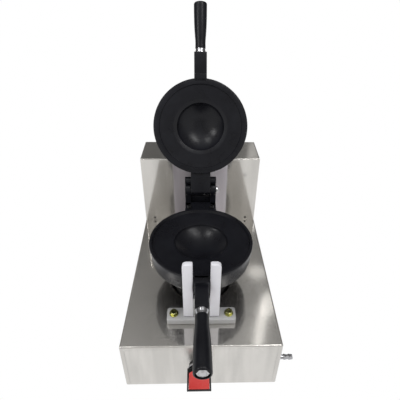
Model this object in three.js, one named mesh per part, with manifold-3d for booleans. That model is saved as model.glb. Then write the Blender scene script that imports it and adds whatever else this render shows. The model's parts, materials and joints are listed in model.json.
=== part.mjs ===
// Gas flying-saucer burger maker: two hinged round moulds over a burner in a sheet-steel body.
// Millimetres, +Z up, front towards -Y. The shapes are laid out from the middle of the front
// panel at floor level, and the finished group stands with its footprint's centre at the origin.

import * as THREE from 'three';
import { mergeVertices } from 'three/addons/utils/BufferGeometryUtils.js';
import Module from 'manifold-3d';

const wasm = await Module();
wasm.setup();

// Driving dimensions of the body
const bodyWidth = 250;
const towerDepth = 85;
const footHeight = 8;
const baseHeight = 102;
const towerRise = 157;
const sheet = 1.2;
const bendRadius = 2.6;
const cornerStrip = 7;
const frontLip = 5.2;
const innerFlange = 10;
const burnerHoleRadius = 58;

// Driving dimensions of the moulds
const mouldRadius = 89;
const rimFrontY = 52;
const axisAboveDeck = 92;
const mouldDepth = 37;
const wallTaper = 3;
const lidAngleDegrees = 114;
const pinBehindRim = 34;
const towerBehindPin = 52;
const pinAboveAxis = 23;
const partingGap = 0.5;

// Driving dimensions of the handles
const barRun = 46.4;
const ferruleRun = 8.8;
const gripLength = 80;
const gripOffset = 15.1;
const gripNeckRadius = 9.4;
const gripEndRadius = 12.1;
const studRadius = 4;

// Driving dimensions of the fork
const forkPlateWidth = 111.2;
const forkPlateDepth = 24.2;
const forkPlateHeight = 11.2;
const forkFrontY = 38.8;
const forkArmWidth = 15.6;
const forkArmDepth = 8;
const forkGap = 26.2;
const forkRise = 126;
const forkWebRise = 54;
const forkArmSetback = 5.7;

// Driving dimensions of the gas parts
const knobX = -4;
const knobHeight = 65;
const knobReach = 44.6;
const bladeWidth = 35.6;
const inletY = 15;
const inletHeight = 48;
const barbLength = 24;
const pipeRadius = 4;
const burnerRadius = 50;

// Shared clearances and overruns
const seat = 0.3;
const running = 0.4;
const overrun = 5;
const mergeReach = 1e-4;

// Levels and planes that follow
const halfWidth = bodyWidth / 2;
const deckZ = footHeight + baseHeight;
const towerTopZ = deckZ + towerRise;
const mouldCentreY = rimFrontY + mouldRadius;
const pinY = mouldCentreY + mouldRadius + pinBehindRim;
const deckDepth = pinY + towerBehindPin;
const bodyDepth = deckDepth + towerDepth;
const axisZ = deckZ + axisAboveDeck;
const pinZ = axisZ + pinAboveAxis;
const barEnd = mouldRadius + barRun;
const gripStart = barEnd + ferruleRun;
const knobZ = footHeight + knobHeight;
const inletZ = footHeight + inletHeight;

// Numbers of facets
const mouldSides = 40;
const burnerSides = 20;
const roundSides = 18;
const smallSides = 10;
const tubeSides = 8;
const hexSides = 6;
const bendSteps = 2;
const hubSteps = 7;

const machine = new THREE.Group();

// Finishes

function finish(color, roughness, metalness) {
  return new THREE.MeshStandardMaterial({ color, roughness, metalness });
}

const finishes = {
  stainless: () => finish(0xb9b5ac, 0.25, 0.95),
  castAluminium: () => finish(0xcfcfd4, 0.5, 0.55),
  nonStick: () => finish(0x1d1f22, 0.45, 0.2),
  bakelite: () => finish(0x1b1c20, 0.4, 0),
  chrome: () => finish(0xd8d8dc, 0.12, 1),
  yellowZinc: () => finish(0xb9a23c, 0.35, 0.9),
  steel: () => finish(0x8c8c8e, 0.35, 0.9),
  blackSteel: () => finish(0x1a1a1c, 0.5, 0.5),
  brass: () => finish(0xb08d46, 0.35, 0.9),
  copper: () => finish(0xb4683f, 0.35, 0.9),
  castIron: () => finish(0x2a2a2c, 0.8, 0.3),
  redPlastic: () => finish(0xb6332c, 0.4, 0),
  blackPlastic: () => finish(0x141416, 0.45, 0),
  rubber: () => finish(0x1c1c1c, 0.9, 0),
  ceramic: () => finish(0xe6e2d8, 0.4, 0),
  leadCover: () => finish(0xa22f2a, 0.6, 0),
};

// Geometry tools

// Merged, closed and outward: positions only, no collapsed faces, positive volume.
function closedBody(geometry) {
  const bare = geometry.clone();
  bare.deleteAttribute('normal');
  bare.deleteAttribute('uv');
  const merged = mergeVertices(bare, mergeReach);
  const index = merged.index.array;
  const places = merged.attributes.position;
  const kept = [];
  const corners = [new THREE.Vector3(), new THREE.Vector3(), new THREE.Vector3()];
  let volume = 0;
  for (let i = 0; i < index.length; i += 3) {
    const [a, b, c] = [index[i], index[i + 1], index[i + 2]];
    if (a !== b && b !== c && c !== a) {
      kept.push(a, b, c);
      corners[0].fromBufferAttribute(places, a);
      corners[1].fromBufferAttribute(places, b);
      corners[2].fromBufferAttribute(places, c);
      volume += corners[0].dot(corners[1].cross(corners[2]));
    }
  }
  if (volume < 0) kept.reverse();
  merged.setIndex(kept);
  return merged;
}

function solid(geometry) {
  const body = closedBody(geometry);
  const mesh = new wasm.Mesh({
    numProp: 3,
    vertProperties: new Float32Array(body.attributes.position.array),
    triVerts: new Uint32Array(body.index.array),
  });
  return new wasm.Manifold(mesh);
}

function surfaceOf(manifold) {
  const mesh = manifold.getMesh();
  const geometry = new THREE.BufferGeometry();
  geometry.setAttribute('position', new THREE.BufferAttribute(mesh.vertProperties, 3));
  geometry.setIndex(new THREE.BufferAttribute(mesh.triVerts, 1));
  return geometry;
}

function joined(parts) {
  return parts.reduce((sum, part) => sum.add(part));
}

function cut(body, tools) {
  return tools.reduce((rest, tool) => rest.subtract(tool), body);
}

function boxBetween(low, high) {
  const size = high.map((value, i) => value - low[i]);
  const middle = high.map((value, i) => (value + low[i]) / 2);
  return new THREE.BoxGeometry(...size).translate(...middle);
}

const block = (low, high) => solid(boxBetween(low, high));

// A turned shape from (radius, height) points, about an axis through the place.
const turns = {
  x: (geometry) => geometry.rotateZ(-Math.PI / 2),
  y: (geometry) => geometry,
  z: (geometry) => geometry.rotateX(Math.PI / 2),
};

function turned(profile, axis, place, sides = roundSides) {
  const points = profile.map(([radius, height]) => new THREE.Vector2(radius, height));
  const geometry = new THREE.LatheGeometry(points, sides);
  return turns[axis](geometry).translate(...place);
}

function rod(radius, from, to, axis, place, sides = roundSides) {
  return turned([[0, from], [radius, from], [radius, to], [0, to]], axis, place, sides);
}

function ring(inner, outer, from, to, axis, place, sides = roundSides) {
  const profile = [[inner, from], [outer, from], [outer, to], [inner, to], [inner, from]];
  return turned(profile, axis, place, sides);
}

// A straight prism from a closed outline in the plane across the axis.
function prism(outline, from, to, axis, steps = bendSteps) {
  const shape = Array.isArray(outline)
    ? new THREE.Shape(outline.map(([u, v]) => new THREE.Vector2(u, v)))
    : outline;
  const geometry = new THREE.ExtrudeGeometry(shape, {
    depth: to - from, bevelEnabled: false, curveSegments: steps,
  });
  geometry.translate(0, 0, from);
  if (axis === 'x') geometry.rotateY(Math.PI / 2).rotateX(Math.PI / 2);
  if (axis === 'y') geometry.rotateX(Math.PI / 2).scale(1, -1, 1);
  return geometry;
}

// A rectangle whose named corners are rounded: ll, rl, rr, lr run round from the low corner.
function roundedOutline(u0, v0, u1, v1, radii) {
  const shape = new THREE.Shape();
  const [a, b, c, d] = radii;
  const quarter = Math.PI / 2;
  shape.moveTo(u0 + a, v0);
  shape.lineTo(u1 - b, v0);
  if (b) shape.absarc(u1 - b, v0 + b, b, -quarter, 0);
  shape.lineTo(u1, v1 - c);
  if (c) shape.absarc(u1 - c, v1 - c, c, 0, quarter);
  shape.lineTo(u0 + d, v1);
  if (d) shape.absarc(u0 + d, v1 - d, d, quarter, 2 * quarter);
  shape.lineTo(u0, v0 + a);
  if (a) shape.absarc(u0 + a, v0 + a, a, 2 * quarter, 3 * quarter);
  return shape;
}

function tubeAlong(points, radius, steps) {
  const path = new THREE.CatmullRomCurve3(points.map((point) => new THREE.Vector3(...point)));
  const section = new THREE.Shape();
  for (let i = 0; i < tubeSides; i += 1) {
    const angle = (2 * Math.PI * i) / tubeSides;
    const corner = [radius * Math.cos(angle), radius * Math.sin(angle)];
    if (i === 0) section.moveTo(...corner);
    else section.lineTo(...corner);
  }
  section.closePath();
  return new THREE.ExtrudeGeometry(section, { steps, extrudePath: path, bevelEnabled: false });
}

function add(parent, name, body, material) {
  const geometry = body.isBufferGeometry ? closedBody(body) : surfaceOf(body);
  geometry.computeVertexNormals();
  const mesh = new THREE.Mesh(geometry, material);
  mesh.name = name;
  parent.add(mesh);
  return mesh;
}

// Like pieces, one mesh each, named by where they stand.
function addEach(parent, name, places, bodies, material) {
  bodies.forEach((body, i) => add(parent, `${name}_${places[i]}`, body, material));
}

const leftRight = ['left', 'right'];
const socketScrewNames = ['top', 'left', 'right'];
const footNames = ['front_left', 'front_right', 'rear_left', 'rear_right'];

// Sheet-steel body

const bottomGap = seat + sheet;

// The rounded outer form of a housing, drawn in by an inset, as three crossed profiles.
function housingForm(y0, y1, z0, z1, inset) {
  const r = bendRadius - inset;
  const [u, low, high] = [halfWidth - inset, y0 + inset, y1];
  const top = z1 - inset;
  const front = solid(prism(roundedOutline(-u, z0, u, top, [0, 0, r, r]), low, high, 'y'));
  const side = solid(prism(roundedOutline(low, z0, high, top, [0, 0, 0, r]), -u, u, 'x'));
  const plan = solid(prism(roundedOutline(-u, low, u, high, [r, r, 0, 0]), z0, top, 'z'));
  return front.intersect(side).intersect(plan);
}

function housing(y0, y1, z0, z1, floorLevel) {
  const outer = housingForm(y0, y1, z0, z1, 0);
  const inner = housingForm(y0, y1 - sheet, floorLevel, z1, sheet);
  return outer.subtract(inner);
}

function deckHousing() {
  const floorLevel = footHeight + bottomGap + seat + sheet;
  const shell = housing(0, bodyDepth, footHeight, deckZ, floorLevel);
  const inside = halfWidth - sheet;
  const frontWindow = block(
    [-halfWidth + cornerStrip, -overrun, footHeight - overrun],
    [halfWidth - cornerStrip, sheet + innerFlange, deckZ - frontLip],
  );
  const bottomRecess = block(
    [-inside, sheet, footHeight - overrun],
    [inside, bodyDepth - sheet, floorLevel - sheet],
  );
  const bottomWindow = block(
    [-inside + innerFlange, innerFlange, footHeight - overrun],
    [inside - innerFlange, bodyDepth - innerFlange, floorLevel + overrun],
  );
  const rearWindow = block(
    [-inside + innerFlange, bodyDepth - overrun, floorLevel + innerFlange],
    [inside - innerFlange, bodyDepth + overrun, deckZ - sheet - innerFlange],
  );
  const towerWindow = block(
    [-inside + innerFlange, deckDepth + innerFlange * 2, deckZ - overrun],
    [inside - innerFlange, bodyDepth - innerFlange, deckZ + overrun],
  );
  const burnerHole = solid(
    rod(burnerHoleRadius, -overrun, overrun, 'z', [0, mouldCentreY, deckZ], mouldSides),
  );
  const inletHole = solid(
    rod(inletThreadRadius + seat, -overrun, overrun, 'x', [halfWidth, inletY, inletZ]),
  );
  const forkHoles = [-1, 1].map((side) => solid(
    rod(boltRadius + seat, -overrun, overrun, 'z', [side * boltX, boltY, deckZ], smallSides),
  ));
  return cut(shell, [
    frontWindow, bottomRecess, bottomWindow, rearWindow, towerWindow, burnerHole, inletHole,
    ...forkHoles,
  ]);
}

function frontPanel() {
  const plate = block(
    [-halfWidth + cornerStrip + seat, 0, footHeight],
    [halfWidth - cornerStrip - seat, sheet, deckZ - frontLip - seat],
  );
  const returns = [-1, 1].map((side) => {
    const outer = side * (halfWidth - cornerStrip - seat);
    const inner = side * (halfWidth - cornerStrip - seat - sheet);
    return block(
      [Math.min(outer, inner), 0, footHeight + bottomGap + seat + 2 * sheet],
      [Math.max(outer, inner), innerFlange, deckZ - frontLip - seat],
    );
  });
  const stemHole = solid(
    rod(stemHoleRadius, -overrun, overrun, 'y', [knobX, 0, knobZ], roundSides),
  );
  return cut(joined([plate, ...returns]), [stemHole]);
}

function towerHousing() {
  const floorLevel = deckZ + seat + sheet;
  const shell = housing(deckDepth, bodyDepth, deckZ + seat, towerTopZ, floorLevel);
  const inside = halfWidth - sheet;
  const bottomWindow = block(
    [-inside + innerFlange, deckDepth + innerFlange * 2, deckZ - overrun],
    [inside - innerFlange, bodyDepth - innerFlange, floorLevel + overrun],
  );
  const rearWindow = block(
    [-inside + innerFlange, bodyDepth - overrun, floorLevel + innerFlange],
    [inside - innerFlange, bodyDepth + overrun, towerTopZ - sheet - innerFlange],
  );
  const ballHole = solid(
    rod(socketSpigotRadius + seat, -overrun, overrun, 'y', [0, deckDepth, axisZ]),
  );
  const screwHoles = [...socketScrewPlaces(), ...creaseScrewPlaces()].map(([x, z]) => solid(
    rod(smallScrewRadius + seat, -overrun, overrun, 'y', [x, deckDepth, z], smallSides),
  ));
  return cut(shell, [bottomWindow, rearWindow, ballHole, ...screwHoles]);
}

// Louvres pressed out of the rear cover, one hood over each slot
const louvreWidth = 62;
const louvrePitch = 18;
const louvreReach = 3.6;
const louvreCount = 4;
const louvreShift = 42;
const louvreTopShare = 0.86;
const hoodShares = [[0, 0], [0.75, 0.25], [1, 1], [0, 1]];

function rearCover() {
  const margin = 2 * seat;
  const plateFront = bodyDepth + seat;
  const plateBack = plateFront + sheet;
  const plate = block(
    [-halfWidth + margin, plateFront, footHeight + margin],
    [halfWidth - margin, plateBack, towerTopZ - bendRadius],
  );
  const hoods = [];
  const slots = [];
  const slotHeight = louvrePitch / 3;
  for (const side of [-1, 1]) {
    for (let i = 0; i < louvreCount; i += 1) {
      const z = footHeight + (towerTopZ - footHeight) * louvreTopShare - i * louvrePitch;
      const x = side * louvreShift;
      const outline = (reach, height) => hoodShares.map(([out, down]) => [
        plateBack - sheet / 2 + out * reach, z - down * height,
      ]);
      const hood = solid(prism(
        outline(louvreReach, slotHeight * 2), x - louvreWidth / 2, x + louvreWidth / 2, 'x',
      ));
      const hollow = solid(prism(
        outline(louvreReach - sheet, slotHeight * 2).map(([u, v]) => [u - sheet, v - sheet]),
        x - louvreWidth / 2 + sheet, x + louvreWidth / 2 - sheet, 'x',
      ));
      hoods.push(hood.subtract(hollow));
      slots.push(block(
        [x - louvreWidth / 2 + sheet, plateFront - overrun, z - slotHeight * 2],
        [x + louvreWidth / 2 - sheet, plateBack - sheet / 2, z - sheet],
      ));
      slots.push(hollow);
    }
  }
  const holes = coverScrewPlaces().map(([x, z]) => solid(
    rod(smallScrewRadius + seat, -overrun, overrun, 'y', [x, plateBack, z], smallSides),
  ));
  return cut(joined([cut(plate, slots), ...hoods]), holes);
}

function coverScrewPlaces() {
  const x = halfWidth - sheet - innerFlange / 2;
  const low = footHeight + bottomGap + 2 * innerFlange;
  const high = towerTopZ - sheet - innerFlange / 2;
  return [low, (low + high) / 2, high].flatMap((z) => [[-x, z], [x, z]]);
}

// Pan-head screw: a low domed head with its shank behind, pointing along the given axis.
const smallScrewRadius = 1.7;
const smallHeadRadius = 3.4;
const smallHeadHeight = 2;

function panScrew(place, axis, direction, shank) {
  const h = direction;
  const domeShares = [[0, 1], [0.55, 0.9], [0.9, 0.5], [1, 0]];
  const head = domeShares.map(([r, z]) => [r * smallHeadRadius, z * smallHeadHeight * h]);
  const profile = [...head, [smallScrewRadius, 0], [smallScrewRadius, -shank * h], [0, -shank * h]];
  return solid(turned(profile, axis, place, smallSides));
}

// Screw holes that hold the foot of the tower wall, just above the crease
const creaseScrewX = 104;
const creaseScrewRise = 6;

function creaseScrewPlaces() {
  return [-1, 1].map((side) => [side * creaseScrewX, deckZ + creaseScrewRise]);
}

function bottomPlate() {
  const inside = halfWidth - sheet - seat;
  const low = footHeight + seat;
  const plate = block(
    [-inside, sheet + seat, low],
    [inside, bodyDepth - sheet - seat, low + sheet],
  );
  const slots = [];
  for (let i = 0; i < airSlotCount; i += 1) {
    const y = mouldCentreY + (i - (airSlotCount - 1) / 2) * airSlotPitch;
    slots.push(block(
      [-airSlotLength / 2, y - airSlotWidth / 2, low - overrun],
      [airSlotLength / 2, y + airSlotWidth / 2, low + overrun],
    ));
  }
  const holes = footPlaces().map(([x, y]) => solid(
    rod(footStemRadius + seat, -overrun, overrun, 'z', [x, y, low], smallSides),
  ));
  return cut(plate, [...slots, ...holes]);
}

const airSlotCount = 5;
const airSlotPitch = 20;
const airSlotWidth = 6;
const airSlotLength = 90;

// Rubber feet, each pushed through the bottom plate and held by its barbed stem
const footRadius = 13;
const footTaper = 2;
const footRecessRadius = 6.5;
const footRecessDepth = 3;
const footInset = 26;
const footStemRadius = 3;
const footBarbRadius = 4.2;
const footBarbHeight = 4;

function footPlaces() {
  const x = halfWidth - footInset;
  return [footInset, bodyDepth - footInset].flatMap((y) => [[-x, y], [x, y]]);
}

function feet() {
  const plateTop = footHeight + seat + sheet + seat;
  return footPlaces().map(([x, y]) => turned([
    [0, footRecessDepth],
    [footRecessRadius, footRecessDepth],
    [footRecessRadius, 0],
    [footRadius - footTaper, 0],
    [footRadius, footHeight - footTaper],
    [footRadius, footHeight],
    [footStemRadius, footHeight],
    [footStemRadius, plateTop],
    [footBarbRadius, plateTop],
    [footStemRadius / 2, plateTop + footBarbHeight],
    [0, plateTop + footBarbHeight],
  ], 'z', [x, y, 0], smallSides));
}

// Fork: a foot plate with two arms that guide both handle bars, and a cross pin to rest them on

const boltRadius = 3;
const boltX = 44.4;
const boltY = forkFrontY + forkPlateDepth / 2;
const boltAcrossFlats = 10;
const boltHeadHeight = 4;
const washerRadius = 7.2;
const washerThickness = 1.5;
const forkCorner = 4;
const armFrontY = forkFrontY + forkArmSetback;
const armBackY = armFrontY + forkArmDepth;
const plateTopZ = deckZ + seat + forkPlateHeight;
const lugDepth = 22;
const restPinRadius = 3;
const restPinY = (armFrontY + armBackY) / 2;
const restPinZ = axisZ - lugDepth - seat - restPinRadius;

function forkBase() {
  const outline = roundedOutline(
    -forkPlateWidth / 2, forkFrontY, forkPlateWidth / 2, forkFrontY + forkPlateDepth,
    [forkCorner, forkCorner, forkCorner, forkCorner],
  );
  const plate = solid(prism(outline, deckZ + seat, plateTopZ, 'z'));
  const holes = [-1, 1].map((side) => solid(rod(
    boltRadius + seat, -overrun, forkPlateHeight + overrun, 'z',
    [side * boltX, boltY, deckZ], smallSides,
  )));
  return cut(plate, holes);
}

function forkArm(side) {
  const inner = forkGap / 2;
  const outer = inner + forkArmWidth;
  const top = deckZ + forkRise;
  const base = plateTopZ + seat;
  const [sharp, wide] = [forkCorner / 2, forkCorner * 1.5];
  const outline = side > 0
    ? roundedOutline(inner, base, outer, top, [0, 0, wide, sharp])
    : roundedOutline(-outer, base, -inner, top, [0, 0, sharp, wide]);
  const arm = solid(prism(outline, armFrontY, armBackY, 'y'));
  const hole = solid(rod(
    restPinRadius + seat, -bodyWidth, bodyWidth, 'x', [0, restPinY, restPinZ], smallSides,
  ));
  return cut(arm, [hole]);
}

function forkWeb() {
  const half = forkGap / 2 - seat;
  return block([-half, armFrontY, plateTopZ + seat], [half, armBackY, deckZ + forkWebRise]);
}

function forkRestPin() {
  const reach = forkGap / 2 + forkArmWidth + seat;
  return turned([
    [0, -reach],
    [restPinRadius - seat, -reach],
    [restPinRadius, -reach + seat],
    [restPinRadius, reach - seat],
    [restPinRadius - seat, reach],
    [0, reach],
  ], 'x', [0, restPinY, restPinZ], smallSides);
}

const boltSeatZ = plateTopZ + seat + washerThickness + seat;
const nutHeight = 5;
const nutTopZ = deckZ - sheet - seat;

// A hexagon prism round an axis, given across its flats.
function hexagon(acrossFlats, from, to, axis, place) {
  const radius = acrossFlats / 2 / Math.cos(Math.PI / hexSides);
  return solid(rod(radius, from, to, axis, place, hexSides));
}

function forkBolts() {
  const tip = nutTopZ - nutHeight - washerThickness;
  return [-1, 1].map((side) => {
    const place = [side * boltX, boltY, 0];
    const head = hexagon(boltAcrossFlats, boltSeatZ, boltSeatZ + boltHeadHeight, 'z', place);
    const bevel = solid(turned([
      [0, boltSeatZ],
      [boltAcrossFlats, boltSeatZ],
      [boltAcrossFlats / 2, boltSeatZ + boltHeadHeight],
      [0, boltSeatZ + boltHeadHeight],
    ], 'z', place, smallSides));
    const shank = solid(rod(boltRadius, tip, boltSeatZ + sheet, 'z', place, smallSides));
    return head.intersect(bevel).add(shank);
  });
}

function forkWashers() {
  const low = plateTopZ + seat;
  return [-1, 1].map((side) => ring(
    boltRadius + seat, washerRadius, low, low + washerThickness, 'z', [side * boltX, boltY, 0],
  ));
}

function forkNuts() {
  return [-1, 1].map((side) => {
    const place = [side * boltX, boltY, 0];
    const nut = hexagon(boltAcrossFlats, nutTopZ - nutHeight, nutTopZ, 'z', place);
    const [low, high] = [nutTopZ - 2 * nutHeight, nutTopZ + overrun];
    const bore = rod(boltRadius + seat, low, high, 'z', place, smallSides);
    return nut.subtract(solid(bore));
  });
}

// Moulds: two turned castings, each with a domed pocket, a handle lug and a hinge ledge

const pocketDepth = 21;
const lidPocketDepth = 23.4;
const lowerRimWidth = 6;
const lowerRecessRadius = mouldRadius - lowerRimWidth;
const lowerRecessDepth = 4.6;
const lowerPocketRadius = 46.3;
const lidRimWidth = 11.6;
const lidRecessRadius = mouldRadius - lidRimWidth;
const lidRecessDepth = 2.4;
const lidBevelRadius = 51.6;
const lidPocketRadius = 44.8;
const lidBevelDepth = 2.2;
const pocketWall = 4;
const pocketDraft = 1;
const rimEdge = 0.8;
const recessDraft = 1.2;
const wallFoot = 5;
const underBulge = 3;
const pocketSteps = 4;
const backShares = [[0.84, 1], [0.82, 0.52], [0.61, 0.52], [0.56, 1]];
const lugWidth = 24.2;
const lugOut = 9;
const lugInset = 4;
const lidBarWidth = 23.5;
const lugReach = mouldRadius + lugOut;
const lugRootReach = mouldRadius - lugInset;

// Points of a round pocket, from its lowest point out to the drafted wall at its lip.
function pocketPoints(lipRadius, lipLevel, depth) {
  const rise = depth - pocketWall;
  const edge = lipRadius - pocketDraft;
  const bowl = (edge ** 2 + rise ** 2) / (2 * rise);
  const points = [];
  for (let i = 0; i <= pocketSteps; i += 1) {
    const radius = (edge * i) / pocketSteps;
    const drop = Math.sqrt(bowl ** 2 - radius ** 2) - (bowl - rise);
    points.push([radius, lipLevel - pocketWall - drop]);
  }
  return [...points, [lipRadius, lipLevel]];
}

// The back of a mould half: a skirt, a ring-shaped hollow and a bulge under the pocket.
function backPoints() {
  const hollow = backShares.map(([r, h]) => [r * mouldRadius, -h * mouldDepth]);
  return [
    [mouldRadius - rimEdge, 0],
    [mouldRadius, -rimEdge],
    [mouldRadius - wallTaper, -mouldDepth + wallFoot],
    [mouldRadius - wallTaper - wallFoot, -mouldDepth],
    ...hollow,
    [0, -mouldDepth - underBulge],
  ];
}

function lowerFacePoints() {
  return [
    ...pocketPoints(lowerPocketRadius, -lowerRecessDepth, pocketDepth),
    [lowerRecessRadius, -lowerRecessDepth],
    [lowerRecessRadius + recessDraft, 0],
  ];
}

function lidFacePoints() {
  return [
    ...pocketPoints(lidPocketRadius, -lidRecessDepth - lidBevelDepth, lidPocketDepth),
    [lidBevelRadius, -lidRecessDepth],
    [lidRecessRadius, -lidRecessDepth],
    [lidRecessRadius + recessDraft, 0],
  ];
}

const ledgeOut = 15;
const ledgeInset = 5;
const ledgeReach = mouldRadius + ledgeOut;
const ledgeRootReach = mouldRadius - ledgeInset;
const ledgeWidth = 56;
const ledgeTop = 14.3;
const ledgeThickness = 10;

function lowerMould() {
  const place = [0, mouldCentreY, axisZ];
  const disc = solid(turned([...lowerFacePoints(), ...backPoints()], 'z', place, mouldSides));
  const lug = block(
    [-lugWidth / 2, mouldCentreY - lugReach, axisZ - lugDepth],
    [lugWidth / 2, mouldCentreY - lugRootReach, axisZ],
  );
  const ledge = block(
    [-ledgeWidth / 2, mouldCentreY + ledgeRootReach, axisZ - ledgeTop - ledgeThickness],
    [ledgeWidth / 2, mouldCentreY + ledgeReach, axisZ - ledgeTop],
  );
  const holes = yokeScrewPlaces().map(([x, y]) => solid(rod(
    clampScrewRadius + seat, -mouldDepth, 0, 'z', [x, y, axisZ], smallSides,
  )));
  return cut(joined([disc, lug, ledge]), holes);
}

// Hinge yoke: a saddle bolted to the lower mould's ledge, with two ears and the shaft's boss

const yokeHalfWidth = 30.5;
const tongueHalfWidth = 19;
const earGap = 0.5;
const webTop = -3.2;
const webOut = 16;
const earHeadRadius = 12;
const earPostHalf = 9;
const crossFront = 2;
const crossBack = 16;
const crossTop = 8;
const crossBottom = -16;
const shaftBossRadius = 15;
const shaftBossLength = 12;
const pinRadius = 5;
const clampScrewRadius = 2.5;
const clampHeadRadius = 4.2;
const clampHeadHeight = 5;
const clampScrewX = 22;
const clampScrewOut = 7;

function yokeScrewPlaces() {
  return [-1, 1].map((side) => [side * clampScrewX, mouldCentreY + mouldRadius + clampScrewOut]);
}

function earOutline() {
  const low = axisZ - ledgeTop + seat;
  const spread = Math.acos(earPostHalf / earHeadRadius);
  const shape = new THREE.Shape();
  shape.moveTo(mouldCentreY + ledgeRootReach, low);
  shape.lineTo(mouldCentreY + ledgeRootReach, axisZ + webTop);
  shape.lineTo(pinY - earPostHalf, axisZ + webTop);
  shape.absarc(pinY, pinZ, earHeadRadius, Math.PI + spread, Math.PI / 2, true);
  shape.lineTo(pinY + earHeadRadius, pinZ + earHeadRadius);
  shape.lineTo(pinY + earHeadRadius, low);
  shape.closePath();
  return shape;
}

function hingeYoke() {
  const low = axisZ - ledgeTop + seat;
  const inner = tongueHalfWidth + earGap;
  const ears = [
    solid(prism(earOutline(), inner, yokeHalfWidth, 'x', hubSteps)),
    solid(prism(earOutline(), -yokeHalfWidth, -inner, 'x', hubSteps)),
  ];
  const web = block(
    [-yokeHalfWidth, mouldCentreY + ledgeRootReach, low],
    [yokeHalfWidth, mouldCentreY + mouldRadius + webOut, axisZ + webTop],
  );
  const cross = block(
    [-yokeHalfWidth, pinY - crossFront, axisZ + crossBottom],
    [yokeHalfWidth, pinY + crossBack, axisZ + crossTop],
  );
  const bossEnd = pinY + crossBack + shaftBossLength;
  const bossStart = pinY + crossBack - overrun;
  const boss = solid(rod(shaftBossRadius, bossStart, bossEnd, 'y', [0, 0, axisZ]));
  const rimSeat = solid(rod(
    mouldRadius + seat, -mouldDepth, mouldDepth, 'z', [0, mouldCentreY, axisZ], mouldSides,
  ));
  const pinBore = solid(rod(
    pinRadius + seat, -bodyWidth, bodyWidth, 'x', [0, pinY, pinZ], smallSides,
  ));
  const spigotBore = solid(rod(
    spigotRadius + seat, bossEnd - spigotLength - seat, bossEnd + overrun, 'y', [0, 0, axisZ],
  ));
  const screwBores = yokeScrewPlaces().map(([x, y]) => solid(rod(
    clampScrewRadius + seat, -mouldDepth, mouldDepth, 'z', [x, y, axisZ], smallSides,
  )));
  return cut(joined([...ears, web, cross, boss]), [rimSeat, pinBore, spigotBore, ...screwBores]);
}

// A socket-head screw that stands on a face, its head along +Z or -Z by the direction.
function socketScrew([x, y, face], direction, length) {
  const h = direction;
  const place = [x, y, face];
  const screw = solid(turned([
    [0, clampHeadHeight * h],
    [clampHeadRadius, clampHeadHeight * h],
    [clampHeadRadius, 0],
    [clampScrewRadius, 0],
    [clampScrewRadius, -length * h],
    [0, -length * h],
  ], 'z', place, smallSides));
  const depth = clampHeadHeight / 2;
  const levels = [depth * h, (clampHeadHeight + overrun) * h].sort((a, b) => a - b);
  return screw.subtract(hexagon(clampHeadRadius, ...levels, 'z', place));
}

function yokeScrews() {
  const face = axisZ + webTop + seat;
  const length = ledgeTop + webTop + ledgeThickness;
  return yokeScrewPlaces().map(([x, y]) => socketScrew([x, y, face], 1, length));
}

const pinHead = 5.1;
const pinHeadShare = 1.2;

// The pin presses into the left ear, flush with it, and its head stands outside the right one.
function hingePin() {
  const headRadius = pinRadius * pinHeadShare;
  const face = yokeHalfWidth + seat;
  return turned([
    [0, -yokeHalfWidth + seat],
    [pinRadius, -yokeHalfWidth + seat],
    [pinRadius, face],
    [headRadius, face],
    [headRadius, face + pinHead - sheet],
    [headRadius - sheet, face + pinHead],
    [0, face + pinHead],
  ], 'x', [0, pinY, pinZ], smallSides);
}

// Shaft with a ball end in a two-part socket on the tower: the moulds lift and turn on it

const spigotRadius = 5;
const spigotLength = 10;
const collarRadius = 12;
const collarLength = 6;
const shaftRadius = 8;
const ballRadius = 15;
const ballSetback = 6;
const ballSteps = 8;
const ballClearance = 0.5;
const socketFlangeRadius = 26.5;
const socketFlangeThickness = 5.4;
const socketSpigotRadius = 19;
const socketMouthRadius = 12.6;
const socketScrewRadius = 22.6;
const socketScrewCount = 3;
const socketBackDepth = 11;
const ballY = deckDepth + ballSetback;

function socketScrewPlaces() {
  return Array.from({ length: socketScrewCount }, (_, i) => {
    const angle = Math.PI / 2 + (2 * Math.PI * i) / socketScrewCount;
    return [socketScrewRadius * Math.cos(angle), axisZ + socketScrewRadius * Math.sin(angle)];
  });
}

function turningShaft() {
  const start = pinY + crossBack + shaftBossLength;
  const neck = Math.asin(shaftRadius / ballRadius);
  const ball = [];
  for (let i = 0; i <= ballSteps; i += 1) {
    const angle = neck + ((Math.PI - neck) * i) / ballSteps;
    const radius = i === ballSteps ? 0 : ballRadius * Math.sin(angle);
    ball.push([radius, ballY - ballRadius * Math.cos(angle)]);
  }
  return turned([
    [0, start - spigotLength],
    [spigotRadius, start - spigotLength],
    [spigotRadius, start + seat],
    [collarRadius, start + seat],
    [collarRadius, start + seat + collarLength],
    [shaftRadius, start + seat + collarLength],
    ...ball,
  ], 'y', [0, 0, axisZ], roundSides);
}

// Points on the socket's round seat between two distances from the ball's centre plane.
function seatPoints(from, to) {
  const reach = ballRadius + ballClearance;
  const steps = ballSteps / 2;
  return Array.from({ length: steps + 1 }, (_, i) => {
    const along = from + ((to - from) * i) / steps;
    return [Math.sqrt(reach ** 2 - along ** 2), ballY + along];
  });
}

function socketFront() {
  const reach = ballRadius + ballClearance;
  const mouth = Math.sqrt(reach ** 2 - socketMouthRadius ** 2);
  const back = deckDepth - seat;
  const front = back - socketFlangeThickness;
  const body = solid(turned([
    [socketMouthRadius, front],
    [socketFlangeRadius, front],
    [socketFlangeRadius, back],
    [socketSpigotRadius, back],
    [socketSpigotRadius, ballY - seat / 2],
    ...seatPoints(-seat / 2, -mouth),
    [socketMouthRadius, front],
  ], 'y', [0, 0, axisZ], roundSides));
  return cut(body, socketScrewHoles(front - overrun, ballY));
}

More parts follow.
